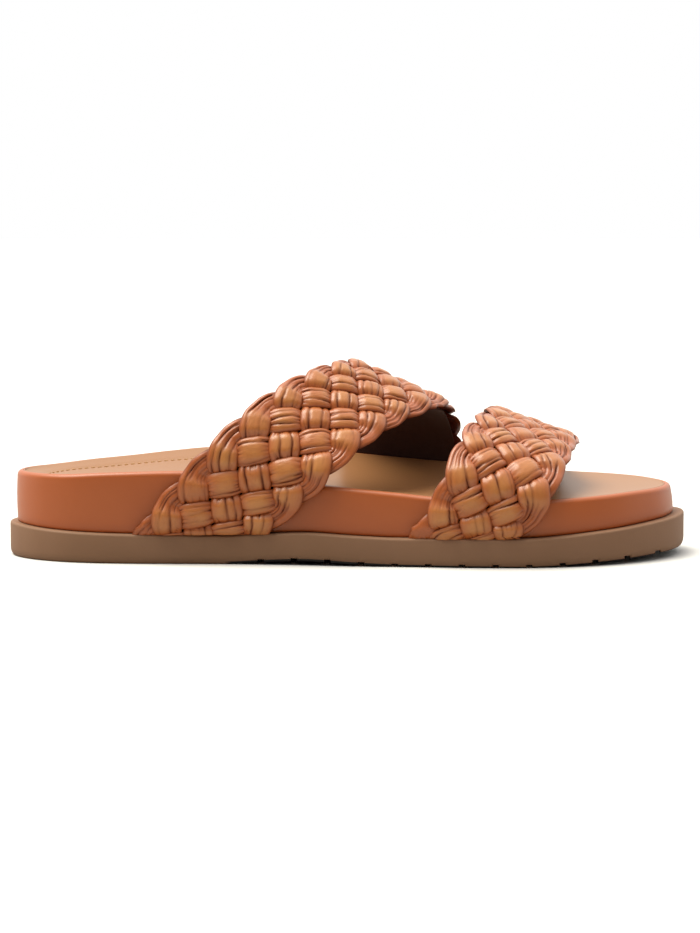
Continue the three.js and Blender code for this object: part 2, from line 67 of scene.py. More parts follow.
LEDGE_ROUND = 1.0
LEDGE_ROUND_STEPS = 5
FOOT_BEVEL_HEIGHT = 3
FOOT_BEVEL_INSET = 1.5
FOOT_BEVEL_STEPS = 4
UNDERSIDE_BOW = 1.2
UNDERSIDE_POWER = 6
UNDERSIDE_COLUMNS = 16
GROOVE_DEPTH = 1.3
GROOVE_WIDTH = 2.4
GROOVE_PITCH = 12.6
HEEL_GROOVE_LENGTH = 36
WAIST_SHARE = 0.36
# a band of painted shade low on the sole's side, from the waist on: how much it thins towards the toe, and
# where
SHADE_BAND_THINNING = 0.7
SHADE_THINNING_START_SHARE = 0.55
SHADE_THINNING_SPAN_SHARE = 0.3
SOLE_STATIONS = 150
PLAN_STEP = 1e-4
WELD = 2e-6
SHARP_ANGLE = math.radians(50)

# share of the footbed's length, width that the row follows, outer and inner half width as shares of it
PLAN = [
    (0, HEEL_WIDTH, 0, 0),
    (0.02, HEEL_WIDTH, 0.235, 0.235),
    (0.05, HEEL_WIDTH, 0.355, 0.355),
    (0.1, HEEL_WIDTH, 0.455, 0.44),
    (0.15, HEEL_WIDTH, 0.495, 0.475),
    (0.2, HEEL_WIDTH, 0.51, 0.483),
    (0.3, HEEL_WIDTH, 0.517, 0.467),
    (0.4, WAIST_WIDTH, 0.508, 0.415),
    (0.5, WAIST_WIDTH, 0.569, 0.438),
    (0.6, BALL_WIDTH, 0.472, 0.386),
    (0.68, BALL_WIDTH, 0.5, 0.455),
    (0.75, BALL_WIDTH, BALL_OUTER_SHARE, 0.494),
    (0.8, BALL_WIDTH, 0.489, 0.506),
    (0.85, BALL_WIDTH, 0.449, 0.494),
    (0.9, BALL_WIDTH, 0.375, 0.455),
    (0.95, BALL_WIDTH, 0.25, 0.364),
    (0.98, BALL_WIDTH, 0.136, 0.273),
    (1, BALL_WIDTH, -0.1, 0.1),
]

# share of the outsole's length, then shares of the arch lift, toe spring, heel sweep and toe sweep
KEEL = [
    (0, 0, 0, 1, 0),
    (0.07, 0, 0, 0.52, 0),
    (0.15, 0, 0, 0.22, 0),
    (0.32, 0, 0, 0, 0),
    (0.38, 0.6, 0, 0, 0),
    (0.44, 1, 0, 0, 0),
    (0.51, 0.4, 0, 0, 0),
    (0.57, 0, 0, 0, 0),
    (0.745, 0, 0, 0, 0.05),
    (0.87, 0, 0.45, 0, 0.35),
    (0.94, 0, 0.75, 0, 0.66),
    (1, 0, 1, 0, 1),
]


def smooth_curve(points):
    """A smooth function through (key, value) pairs that doesn't overshoot between them."""
    keys = [key for key, value in points]
    values = [value for key, value in points]
    slopes = [(values[i + 1] - values[i]) / (keys[i + 1] - keys[i]) for i in range(len(keys) - 1)]
    tangents = [slopes[0]]
    for before, after in zip(slopes, slopes[1:]):
        tangents.append(0 if before * after <= 0 else 2 * before * after / (before + after))
    tangents.append(slopes[-1])

    def value_at(key):
        i = 0
        while i < len(keys) - 2 and keys[i + 1] < key:
            i += 1
        span = keys[i + 1] - keys[i]
        t = min(max((key - keys[i]) / span, 0), 1)
        ease = 3 * t * t - 2 * t ** 3
        lead_in = (t ** 3 - 2 * t * t + t) * span * tangents[i]
        lead_out = (t ** 3 - t * t) * span * tangents[i + 1]
        return values[i] * (1 - ease) + values[i + 1] * ease + lead_in + lead_out

    return value_at


def turn_of(share):
    """The footbed's tips are round, so its plan is a curve over this angle."""
    return math.acos(1 - 2 * min(max(share, 0), 1))


half_widths = {
    "outer": smooth_curve([(turn_of(at), width * outer) for at, width, outer, inner in PLAN]),
    "inner": smooth_curve([(turn_of(at), width * inner) for at, width, outer, inner in PLAN]),
}
lift_share, spring_share, heel_share, toe_share = (
    smooth_curve([(row[0], row[column]) for row in KEEL]) for column in range(1, 5))


def half_width(side, share):
    return half_widths[side](turn_of(share))


def floor_height(x):
    at = x / SOLE_LENGTH
    return ARCH_LIFT * lift_share(at) + TOE_SPRING * spring_share(at)


def ledge_height(x):
    at = x / SOLE_LENGTH
    return floor_height(x) + WALL_HEIGHT + HEEL_SWEEP * heel_share(at) + TOE_SWEEP * toe_share(at)


def place(x, y, z):
    """A point of the frame, in metres, from millimetres measured from the outsole's heel tip."""
    return Vector((sole_low[0] + x * MM, (y + SIDE_SHIFT) * MM, z * MM))


def plan_point(side, share):
    sign = -1 if side == "outer" else 1
    return LEDGE_HEEL + BED_LENGTH * share, sign * half_width(side, share)


def ring_point(side, share, inset):
    """A point of the footbed's plan, moved inwards square to its edge."""
    x, y = plan_point(side, share)
    if share <= 0 or share >= 1:
        return x + (inset if share <= 0 else -inset), y
    before = plan_point(side, max(share - PLAN_STEP, 0))
    after = plan_point(side, min(share + PLAN_STEP, 1))
    way = Vector((after[0] - before[0], after[1] - before[1])).normalized()
    sign = 1 if side == "outer" else -1
    return x - sign * way.y * inset, y + sign * way.x * inset


def sole_shell(rings, bottom, top, columns):
    """A closed body of the sole: its rings from the foot up, each an inset and a height, and two faces."""
    bm = bmesh.new()
    round_steps = 2 * SOLE_STATIONS
    wall = bmesh.ops.create_grid(bm, x_segments=round_steps, y_segments=len(rings) - 1, size=1)
    for vert in wall["verts"]:
        step = round((vert.co.x + 1) / 2 * round_steps)
        inset, height = rings[round((vert.co.y + 1) / 2 * (len(rings) - 1))]
        share = (1 - math.cos(math.pi * step / SOLE_STATIONS)) / 2
        side = "outer" if step <= SOLE_STATIONS else "inner"
        x, y = ring_point(side, share, inset(share))
        vert.co = place(x, y, height(x, share, side))
    for (inset, height), face_height in ((rings[0], bottom), (rings[-1], top)):
        face = bmesh.ops.create_grid(bm, x_segments=SOLE_STATIONS, y_segments=columns, size=1)
        for vert in face["verts"]:
            step = round((vert.co.x + 1) / 2 * SOLE_STATIONS)
            across = vert.co.y
            share = (1 - math.cos(math.pi * step / SOLE_STATIONS)) / 2
            outer = ring_point("outer", share, inset(share))
            inner = ring_point("inner", share, inset(share))
            x = outer[0] + (inner[0] - outer[0]) * (across + 1) / 2
            y = outer[1] + (inner[1] - outer[1]) * (across + 1) / 2
            if abs(across) > 1 - PLAN_STEP or step in (0, SOLE_STATIONS):
                z = height(x, share, "outer" if across < 0 else "inner")
            else:
                z = face_height(x, y, (x - LEDGE_HEEL) / BED_LENGTH, across)
            vert.co = place(x, y, z)
    bmesh.ops.remove_doubles(bm, verts=bm.verts, dist=WELD)
    bmesh.ops.recalc_face_normals(bm, faces=bm.faces)
    return bm


def finished(bm, name, sharp_angle=SHARP_ANGLE):
    """The bmesh as a smooth shaded object at the origin; edges turned more sharply stay crisp."""
    for face in bm.faces:
        face.smooth = True
    for edge in bm.edges:
        edge.smooth = edge.calc_face_angle(0) < sharp_angle
    mesh = bpy.data.meshes.new(name)
    bm.to_mesh(mesh)
    bm.free()
    piece = bpy.data.objects.new(name, mesh)
    bpy.context.collection.objects.link(piece)
    return piece


def linear(hex_colour):
    """sRGB hex value to the linear colour that a shader takes."""
    channels = [int(hex_colour[i:i + 2], 16) / 255 for i in (1, 3, 5)]
    return [c / 12.92 if c <= 0.04045 else ((c + 0.055) / 1.055) ** 2.4 for c in channels] + [1]


def add_node(tree, kind, settings=None, links=None):
    """Adds a node: settings are input values or properties, links are input name to output socket."""
    made = tree.nodes.new(kind)
    for key, value in (settings or {}).items():
        if isinstance(key, int) or key in made.inputs:
            made.inputs[key].default_value = value
        else:
            setattr(made, key, value)
    for key, socket in (links or {}).items():
        tree.links.new(socket, made.inputs[key])
    return made


def new_material(name, roughness, ior=1.5):
    """A material with its node tree, its one shader and its coordinates."""
    made = bpy.data.materials.new(name)
    made.use_nodes = True
    shader = made.node_tree.nodes["Principled BSDF"]
    shader.inputs["Roughness"].default_value = roughness
    shader.inputs["IOR"].default_value = ior
    return made, made.node_tree, shader, add_node(made.node_tree, "ShaderNodeTexCoord")


def add_noise(tree, coords, size_mm, detail):
    """Noise whose features have a real size."""
    return add_node(
        tree, "ShaderNodeTexNoise", {"Scale": 1 / (size_mm * MM), "Detail": detail},
        {"Vector": coords.outputs["Object"]},
    )


def add_mix(tree, factor, first, second):
    """Goes from one colour to another by a factor. A colour is a hex value or a node's output."""
    mix = add_node(tree, "ShaderNodeMix", {"data_type": "RGBA"}, {0: factor})
    for key, colour in ((6, first), (7, second)):
        if isinstance(colour, str):
            mix.inputs[key].default_value = linear(colour)
        else:
            tree.links.new(colour, mix.inputs[key])
    return mix.outputs[2]


def add_clouds(tree, coords, size_mm, detail, deep, light):
    """Slow changes of tone between two colours."""
    return add_mix(tree, add_noise(tree, coords, size_mm, detail).outputs["Fac"], deep, light)


def add_bump(tree, shader, height, strength, depth_mm):
    bump = add_node(
        tree, "ShaderNodeBump", {"Strength": strength, "Distance": depth_mm * MM}, {"Height": height},
    )
    tree.links.new(bump.outputs["Normal"], shader.inputs["Normal"])


def arc_rings(radius, steps, inset, height, upwards, tall=None):
    """Rings of a quarter round edge, as pairs of inset and height; with a height of its own it is oval."""
    rings = []
    for i in range(steps + 1):
        angle = math.pi / 2 * i / steps
        back, near = 1 - math.cos(angle), 1 - math.sin(angle)
        move = radius * (back if upwards else near)
        drop = (tall or radius) * (near if upwards else -back)
        rings.append((
            lambda share, move=move: inset(share) + move,
            lambda x, share, side, drop=drop: height(x, share, side) - drop,
        ))
    return rings


def ledge_inset(share):
    return -(LEDGE_HEEL + (LEDGE_TOE - LEDGE_HEEL) * min(max(share, 0), 1))


def underside(x, y, share, across):
    """The tread's middle bows down where its edges lift at the waist."""
    lift = lift_share(x / SOLE_LENGTH)
    return floor_height(x) - UNDERSIDE_BOW * lift * (1 - abs(across) ** UNDERSIDE_POWER)


foot_rings = arc_rings(
    FOOT_BEVEL_INSET, FOOT_BEVEL_STEPS, ledge_inset, lambda x, share, side: floor_height(x),
    upwards=False, tall=FOOT_BEVEL_HEIGHT)
ledge_rings = arc_rings(
    LEDGE_ROUND, LEDGE_ROUND_STEPS, ledge_inset, lambda x, share, side: ledge_height(x), upwards=True)
bm = sole_shell(
    foot_rings + ledge_rings,
    bottom=underside,
    top=lambda x, y, share, across: ledge_height(x),
    columns=UNDERSIDE_COLUMNS,
)
outsole = finished(bm, "outsole_moulding")

bm = bmesh.new()
groove_count = int((SOLE_LENGTH - GROOVE_PITCH) / GROOVE_PITCH)
for i in range(1, groove_count + 1):
    x = SOLE_LENGTH - i * GROOVE_PITCH
    length = 2 * BALL_WIDTH if x > WAIST_SHARE * SOLE_LENGTH else HEEL_GROOVE_LENGTH
    cube = bmesh.ops.create_cube(bm, size=1)
    scale = Vector((GROOVE_WIDTH, length, 2 * GROOVE_DEPTH)) * MM
    bmesh.ops.scale(bm, vec=scale, verts=cube["verts"])
    bmesh.ops.translate(bm, vec=place(x, 0, floor_height(x)), verts=cube["verts"])
groove_bars = finished(bm, "groove_bars")
cut = outsole.modifiers.new("grooves", "BOOLEAN")
cut.object = groove_bars
cut.solver = "EXACT"
depsgraph = bpy.context.evaluated_depsgraph_get()
cut_mesh = bpy.data.meshes.new_from_object(outsole.evaluated_get(depsgraph))
outsole.modifiers.clear()
outsole.data = cut_mesh
bpy.data.objects.remove(groove_bars)

# height over the tread's edge in mm, plus how much the band of painted shade has thinned there
rise_layer = outsole.data.attributes.new("rise", "FLOAT", "POINT")
for vert in outsole.data.vertices:
    x = (vert.co.x - sole_low[0]) / MM
    past = (x / SOLE_LENGTH - SHADE_THINNING_START_SHARE) / SHADE_THINNING_SPAN_SHARE
    thinning = SHADE_BAND_THINNING * min(max(past, 0), 1)
    rise_layer.data[vert.index].value = vert.co.z / MM - floor_height(x) + thinning

# Moulded rubber: matte, with a fine even grain from the blasted mould. From the waist to the toe the lowest
# band of the sole's side is painted near black as shade under the lifted edge, a band that thins towards the
# toe.
RUBBER = "#9c7459"
RUBBER_DARK = "#8c6547"
RUBBER_CLOUD_MM = 35.7
RUBBER_GRAIN_MM = 0.7
PAINTED_SHADE_BLACK = "#1c1815"
SHADE_BAND_HEIGHT = 0.95
SHADE_BAND_FADE = 0.2
SHADE_BAND_START_SHARE = 0.32
SHADE_BAND_START_FADE = 3
rubber, tree, shader, coords = new_material("moulded_rubber", roughness=0.62)
tone = add_clouds(tree, coords, RUBBER_CLOUD_MM, 3, RUBBER_DARK, RUBBER)
grain = add_noise(tree, coords, RUBBER_GRAIN_MM, 2)
add_bump(tree, shader, grain.outputs["Fac"], strength=0.12, depth_mm=0.3)
# painted shade: the lowest band of the sole's side, from the waist to the toe, goes near black
rise = add_node(tree, "ShaderNodeAttribute", {"attribute_name": "rise"})
low = add_node(
    tree, "ShaderNodeMapRange",
    {"From Min": SHADE_BAND_HEIGHT, "From Max": SHADE_BAND_HEIGHT + SHADE_BAND_FADE, "To Min": 1, "To Max": 0},
    {"Value": rise.outputs["Fac"]},
)
axis = add_node(tree, "ShaderNodeSeparateXYZ", None, {"Vector": coords.outputs["Object"]})
shade_band_start = sole_low[0] + SHADE_BAND_START_SHARE * SOLE_LENGTH * MM
fore = add_node(
    tree, "ShaderNodeMapRange", {"From Min": shade_band_start, "From Max": shade_band_start + SHADE_BAND_START_FADE * MM},
    {"Value": axis.outputs["X"]},
)
under_shade = add_node(
    tree, "ShaderNodeMath", {"operation": "MULTIPLY"},
    {0: low.outputs["Result"], 1: fore.outputs["Result"]},
)
shaded_tone = add_mix(tree, under_shade.outputs["Value"], tone, PAINTED_SHADE_BLACK)
tree.links.new(shaded_tone, shader.inputs["Base Color"])
outsole.data.materials.clear()
outsole.data.materials.append(rubber)
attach(outsole, "root")
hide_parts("outsole")

# Midsole: a wedge of foam wrapped in smooth tan leather. The leather is drawn up the wall, over a soft
# rim and down into the seat of the insole, and its lower edge is held between foam and outsole.
HEEL_HEIGHT = 34.6
BALL_HEIGHT = 25
RIM_ROUND = 1.9
RIM_ROUND_STEPS = 7
RIM_LAND = 0.3
TOE_DRAFT = 0.9
TOE_DRAFT_POWER = 4
SEAM = 0.12
WRAP_TURN = 0.8
WRAP_TURN_STEPS = 3
WRAP_SWELL = 0.25
WALL_PARTS = (0.15, 0.35, 0.6, 0.85)
SEAT_DEPTH = 2.3
MIDSOLE_COLUMNS = 24

# the way down from the rim into the insole's seat: distance past the rim's round, drop below the rim
SEAT_STEPS = [(RIM_LAND, 0.1), (RIM_LAND + 0.25, 0.5), (RIM_LAND + 0.3, SEAT_DEPTH)]

# share of the footbed's length, rise of the outer rim as a share of the drop from heel to ball
OUTER_RIM = [
    (0, 0.8), (0.07, 0.84), (0.14, 0.95), (0.25, 1.03), (0.36, 0.82), (0.48, 0.49),
    (0.57, 0.27), (0.64, 0.1), (0.79, 0.01), (0.88, 0.09), (0.94, 0.16), (1, 0.18),
]
# the same for the inner rim, which climbs to support the arch
INNER_RIM = [
    (0, 0.8), (0.03, 0.8), (0.11, 0.96), (0.17, 1.1), (0.23, 1.28), (0.29, 1.43), (0.37, 1.5),
    (0.46, 1.32), (0.58, 0.97), (0.7, 0.61), (0.8, 0.38), (0.87, 0.28), (0.95, 0.24), (1, 0.18),
]
# share of the length, then shares of the heel cup's, the arch's and the tread's hollow
HOLLOWS = [
    (0, 0.05, 0, 0), (0.06, 0.6, 0, 0), (0.15, 1, 0, 0), (0.28, 0.75, 0.3, 0), (0.38, 0.3, 0.9, 0),
    (0.5, 0, 0.9, 0.2), (0.62, 0, 0.35, 0.8), (0.75, 0, 0, 1), (0.9, 0, 0, 0.9), (1, 0, 0, 0.1),
]
CUP_DEPTH = 4.2
ARCH_DEPTH = 5
TREAD_DEPTH = 1.2
HOLLOW_POWER = 2.4

rim_curves = {"outer": smooth_curve(OUTER_RIM), "inner": smooth_curve(INNER_RIM)}
cup_share, arch_share, tread_share = (
    smooth_curve([(row[0], row[column]) for row in HOLLOWS]) for column in range(1, 4))


def rim_height(side, share):
    return BALL_HEIGHT + (HEEL_HEIGHT - BALL_HEIGHT) * rim_curves[side](share)


def bed_height(share, across):
    """Top of the footbed, across from the outer rim (-1) to the inner rim (1)."""
    outer = rim_height("outer", share)
    rims = outer + (rim_height("inner", share) - outer) * (across + 1) / 2
    hollow = CUP_DEPTH * cup_share(share) + ARCH_DEPTH * arch_share(share)
    hollow += TREAD_DEPTH * tread_share(share)
    return rims - hollow * (1 - abs(across) ** HOLLOW_POWER)


def toe_draft(share):
    return TOE_DRAFT * min(max(share, 0), 1) ** TOE_DRAFT_POWER


def wall_level(part):
    """Height of the wall at a part of its way from the outsole to the start of the rim."""
    def height(x, share, side):
        low = ledge_height(x) + SEAM + WRAP_TURN
        return low + (rim_height(side, share) - RIM_ROUND - low) * part
    return height


def wall_inset(part):
    swell = WRAP_SWELL * math.sin(math.pi * part)
    return lambda share: toe_draft(share) * part - swell


def rim_level(x, share, side):
    return rim_height(side, share)


midsole_rings = arc_rings(
    WRAP_TURN, WRAP_TURN_STEPS, wall_inset(0), lambda x, share, side: ledge_height(x) + SEAM, upwards=False)
for part in WALL_PARTS:
    midsole_rings.append((wall_inset(part), wall_level(part)))
midsole_rings += arc_rings(RIM_ROUND, RIM_ROUND_STEPS, toe_draft, rim_level, upwards=True)
for more, drop in SEAT_STEPS:
    midsole_rings.append((
        lambda share, more=more: toe_draft(share) + RIM_ROUND + more,
        lambda x, share, side, drop=drop: rim_height(side, share) - drop,
    ))
bm = sole_shell(
    midsole_rings,
    bottom=lambda x, y, share, across: ledge_height(x) + SEAM,
    top=lambda x, y, share, across: bed_height(share, across) - SEAT_DEPTH,
    columns=MIDSOLE_COLUMNS,
)
midsole = finished(bm, "midsole_wrap")

# Smooth calf leather, pigment finished and polished: a soft gloss, a faint grain, slow changes of tone
WRAP_TAN = "#c8682e"
WRAP_DEEP = "#b55722"
WRAP_CLOUD_MM = 45.5
LEATHER_GRAIN_MM = 0.9


def add_pores(tree, shader, coords, strength):
    """The grain of the leather: small cells of a real size."""
    pores = add_node(
        tree, "ShaderNodeTexVoronoi", {"Scale": 1 / (LEATHER_GRAIN_MM * MM)},
        {"Vector": coords.outputs["Object"]},
    )
    add_bump(tree, shader, pores.outputs["Distance"], strength, depth_mm=0.2)


wrap_leather, tree, shader, coords = new_material("smooth_wrap_leather", roughness=0.42)
tone = add_clouds(tree, coords, WRAP_CLOUD_MM, 4, WRAP_DEEP, WRAP_TAN)
tree.links.new(tone, shader.inputs["Base Color"])
add_pores(tree, shader, coords, strength=0.06)
shader.inputs["Coat Weight"].default_value = 0.35
shader.inputs["Coat Roughness"].default_value = 0.3
midsole.data.materials.append(wrap_leather)
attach(midsole, "root")
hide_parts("midsole")

# Insole: the footbed's cover, a waxed leather of a duller tan than the wrap, glued into its seat with a soft
# edge at the rim. A row of stitches holds a pad under the heel, and the leather dips along it.
INSOLE_GAP = 0.12
INSOLE_INSET = RIM_ROUND + RIM_LAND + INSOLE_GAP
INSOLE_THICKNESS = 2
INSOLE_EDGE = 0.5
INSOLE_EDGE_STEPS = 4
INSOLE_COLUMNS = 84
PAD_INSET = 11
PAD_END_SHARE = 0.42
PAD_BOW = 3
PAD_SIDE_STEPS = 90
PAD_FRONT_STEPS = 30
STITCH_PITCH = 2.6
STITCH_LENGTH = 1.9
STITCH_WIDTH = 0.55
STITCH_DIP = 0.35
STITCH_DIP_WIDTH = 1.5
STITCH_RISE = 0.3 * STITCH_WIDTH
TINY = 1e-9


def pad_outline():
    """The stitch line: round the heel at an even distance from the rim, closed by a bow in front."""
    points = []
    for i in range(-PAD_SIDE_STEPS, PAD_SIDE_STEPS + 1):
        share = PAD_END_SHARE * (1 - math.cos(math.pi / 2 * abs(i) / PAD_SIDE_STEPS))
        points.append(ring_point("outer" if i <= 0 else "inner", share, PAD_INSET))
    start, end = points[-1], points[0]
    for i in range(1, PAD_FRONT_STEPS):
        part = i / PAD_FRONT_STEPS
        bow = PAD_BOW * math.sin(math.pi * part)
        points.append((start[0] + (end[0] - start[0]) * part + bow, start[1] + (end[1] - start[1]) * part))
    return points


def even_steps(points, pitch):
    """Points at an even pitch along a closed line, each with the line's direction there."""
    closed = [Vector(point) for point in points] + [Vector(points[0])]
    total = sum((b - a).length for a, b in zip(closed, closed[1:]))
    count = round(total / pitch)
    spots = []
    passed = 0
    for a, b in zip(closed, closed[1:]):
        length = (b - a).length
        while len(spots) < count and len(spots) * total / count <= passed + length:
            part = (len(spots) * total / count - passed) / max(length, TINY)
            spots.append((a.lerp(b, part), (b - a).normalized()))
        passed += length
    return spots


stitch_spots = even_steps(pad_outline(), STITCH_PITCH)
dip_points = [spot + way * (k * STITCH_PITCH / 3) for spot, way in stitch_spots for k in (-1, 0, 1)]
dip_tree = kdtree.KDTree(len(dip_points))
for i, point in enumerate(dip_points):
    dip_tree.insert((point.x, point.y, 0), i)
dip_tree.balance()


def stitch_dip(x, y):
    distance = dip_tree.find((x, y, 0))[2]
    return STITCH_DIP * math.exp(-(distance / STITCH_DIP_WIDTH) ** 2)


def insole_inset(share):
    return toe_draft(share) + INSOLE_INSET


insole_rings = [(insole_inset, lambda x, share, side: rim_height(side, share) - INSOLE_THICKNESS)]
insole_rings += arc_rings(INSOLE_EDGE, INSOLE_EDGE_STEPS, insole_inset, rim_level, upwards=True)
bm = sole_shell(
    insole_rings,
    bottom=lambda x, y, share, across: bed_height(share, across) - INSOLE_THICKNESS,
    top=lambda x, y, share, across: bed_height(share, across) - stitch_dip(x, y),
    columns=INSOLE_COLUMNS,
)
insole = finished(bm, "insole_cover")

# Vegetable tanned cover leather, well waxed: an even tan with small pores, whose satin surface mirrors the
# pale surround where it is seen at a low angle
INSOLE_TAN = "#ae7a50"
INSOLE_DEEP = "#a67046"
INSOLE_CLOUD_MM = 62.5
insole_leather, tree, shader, coords = new_material("footbed_cover_leather", roughness=0.36)
tone = add_clouds(tree, coords, INSOLE_CLOUD_MM, 5, INSOLE_DEEP, INSOLE_TAN)
tree.links.new(tone, shader.inputs["Base Color"])
add_pores(tree, shader, coords, strength=0.1)
insole.data.materials.append(insole_leather)
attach(insole, "root")
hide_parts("insole")

bm = bmesh.new()
for spot, way in stitch_spots:
    share = (spot.x - LEDGE_HEEL) / BED_LENGTH
    outer = -half_width("outer", share) + INSOLE_INSET
    inner = half_width("inner", share) - INSOLE_INSET
    across = 2 * (spot.y - outer) / (inner - outer) - 1
    ball = bmesh.ops.create_icosphere(bm, subdivisions=1, radius=0.5)
    turn = math.atan2(way.y, way.x)
    height = bed_height(share, across) - STITCH_DIP + STITCH_RISE
    for vert in ball["verts"]:
        along, aside = vert.co.x * STITCH_LENGTH, vert.co.y * STITCH_WIDTH
        x = spot.x + along * math.cos(turn) - aside * math.sin(turn)
        y = spot.y + along * math.sin(turn) + aside * math.cos(turn)
        vert.co = place(x, y, height + vert.co.z * STITCH_WIDTH)
stitches = finished(bm, "insole_stitches")

# Waxed polyester thread: a lighter tan than the leather, dull, with a fine twist
THREAD_TAN = "#c99a66"
THREAD_TWIST_MM = 0.4
thread, tree, shader, coords = new_material("waxed_thread", roughness=0.5)
twist = add_noise(tree, coords, THREAD_TWIST_MM, 1)
add_bump(tree, shader, twist.outputs["Fac"], strength=0.3, depth_mm=0.1)
shader.inputs["Base Color"].default_value = linear(THREAD_TAN)
stitches.data.materials.append(thread)
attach(stitches, "root")
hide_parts("insole")

# Straps: each is a flat plait of six soft leather strips on a thin lining. A strip is folded and gathered
# to its width, goes over and under the others, and turns back in a loop at the edge. The ends are held
# in between midsole and outsole.
STRIPS = 6
STRIP_PITCH = 15.8
CROWN_START = 0.45
INSTEP_HEIGHT = 72.6
RIDGE_OFFSET = 3
RIDGE_BLEND = 0.2
CLEARANCE = 0.3
WALL_ABOVE_RIM = 1
STRIP_HALF_THICK = 1.4
STRIP_WIDTH_SHARE = 0.91
OVER_WIDENING = 0.12
LOOP_NARROWING = 0.05
HUMP_POWER = 2.6
UNDER_SHARE = 0.7
TOP_CROWN = 0.4
WEAVE_RISE = 1.25
PLAIT_LEVEL = 2.75
LOOP_REACH = 2.38
LOOP_SPREAD = 0.12
TURN_START = 1.65
FOOT_FLATTENING = 0.45
FOOT_FLAT_HEIGHT = 1.6
FOOT_SINK = 0.4
LINING_THICKNESS = 0.6
LINING_EDGE = 2.5
LINING_ROWS = 160
LINING_COLUMNS = 24
RINGS_PER_STRIP = 14
TOP_POINTS = 39
UNDER_POINTS = 5
ARCH_POINTS = 60
SEAM_WELD = 1e-7
STRIP_SHARP_ANGLE = math.radians(80)

# row at the outer foot, lean of the rows, pitch at the ridge as a share of STRIP_PITCH, then the rear
# and the front edge: outer foot, ridge and inner foot as shares of the sole's length, height as a share
# of the instep height, the exponent of the arch, and the bow over the outer side, again a share
STRAPS = {
    "rear_strap": (
        0.29, 0.712, 0.79,
        ((0.19, 0.497, 0.49, 0.995, 2.11, -0.02), (0.392, 0.645, 0.7, 0.743, 1.75, 0.015)),
    ),
    "front_strap": (
        -0.8, 0.474, 1.04,
        ((0.588, 0.706, 0.69, 0.724, 2.4, 0.01), (0.75, 0.844, 0.816, 0.549, 1.91, 0.025)),
    ),
}
FOOT, RIDGE, INNER_FOOT, HEIGHT, ARCH, BOW = range(6)

# folds of the strips where they show, by crossing (place across the strap, row): place across the strip,
# from -1 to 1, and strength, where 1 is a deep fold. The other crossings take one of the common sets.
FOLDS = {
    "rear_strap": {
        (-2, 0): ((-0.2, 0.8), (0.5, 0.4)),
        (-1, 1): ((0.1, 0.35), (-0.5, 0.3), (0.6, 0.3)),
        (0, 2): ((-0.03, 0.9), (-0.56, 0.8)),
        (1, 3): ((-0.45, 0.35), (0.7, 0.3)),
        (2, 4): ((0.55, 0.9), (0.0, 0.9)),
        (1, 1): ((0.5, 0.8), (-0.4, 0.8)),
        (2, 2): ((0.35, 1.0), (-0.4, 0.4)),
        (-2, 2): ((0.58, 0.9), (-0.75, 0.3)),
        (-1, 3): ((-0.7, 0.8),),
        (0, 4): ((0.5, 1.1), (-0.5, 1.1)),
        (1, 5): ((-0.42, 0.6), (-0.66, 0.9)),
        (2, 6): ((0.2, 0.9), (0.62, 0.6)),
        (-2, 4): ((0.62, 0.7), (0.15, 0.9), (-0.5, 0.6)),
        (-1, 5): ((0.55, 1.1), (-0.78, 0.4)),
        (0, 6): ((0.3, 1.1), (-0.45, 1.1)),
        (1, 7): ((0.58, 0.9), (-0.6, 0.9)),
        (2, 8): ((0.6, 0.5), (-0.5, 0.3)),
        (-2, 6): ((0.6, 0.7), (-0.3, 0.4)),
        (-1, 7): ((0.1, 0.9), (-0.42, 0.9), (0.6, 0.4)),
        (0, 8): ((0.45, 1.1), (-0.45, 1.1)),
        (1, 9): ((0.35, 0.9), (-0.35, 0.9)),
        (2, 10): ((0.4, 0.8), (-0.1, 0.8)),
        (-2, 8): ((0.4, 0.8), (-0.4, 0.4)),
        (-1, 9): ((0.5, 0.9), (-0.4, 0.9)),
        (0, 10): ((0.55, 0.9), (-0.3, 0.9)),
        (-1, 11): ((-0.3, 0.7), (0.6, 0.3)),
    },
    "front_strap": {
        (-2, 0): ((-0.5, 1.0), (-0.78, 0.5)),
        (-1, 1): ((0.48, 1.1),),
        (1, 1): ((0.5, 1.1),),
        (0, 0): ((0.0, 0.5), (-0.5, 0.4)),
        (2, 2): ((0.15, 0.9), (0.5, 0.7)),
        (0, 2): ((0.0, 1.1), (-0.75, 0.3)),
        (-2, 2): ((-0.25, 1.0), (0.7, 0.4)),
        (-1, 3): ((-0.2, 1.0), (-0.5, 0.9), (0.6, 0.6)),
        (1, 3): ((-0.65, 0.6), (0.6, 0.3)),
        (2, 4): ((0.2, 0.9), (0.6, 0.6)),
        (-2, 4): ((-0.3, 0.9), (0.3, 0.6)),
        (0, 4): ((0.3, 0.8), (-0.4, 0.6)),
        (-1, 5): ((0.2, 0.9), (-0.4, 0.7)),
    },
}
COMMON_FOLDS = [
    ((-0.55, 0.8), (0.35, 0.6)),
    ((-0.2, 0.7), (0.55, 0.8)),
    ((-0.6, 0.8), (0.0, 0.6), (0.6, 0.7)),
    ((-0.68, 0.8), (0.7, 0.4)),
    ((0.45, 1.0), (-0.45, 0.9)),
]
# folds round the loops at the strap's edges: place along the turn, strength
LOOP_FOLDS = [(-0.5, 0.5), (-0.12, 0.6), (0.3, 0.5)]
LOOP_FOLD_WIDTH = 0.07
# widths of a fold line and of its shoulders as shares of the strip's half width, and their depths in mm
FOLD_WIDTH = 0.045
SHOULDER_WIDTH = 0.12
FOLD_DEPTH = 1.15
SHOULDER_DEPTH = 0.65
FOLD_SCALE = 0.5
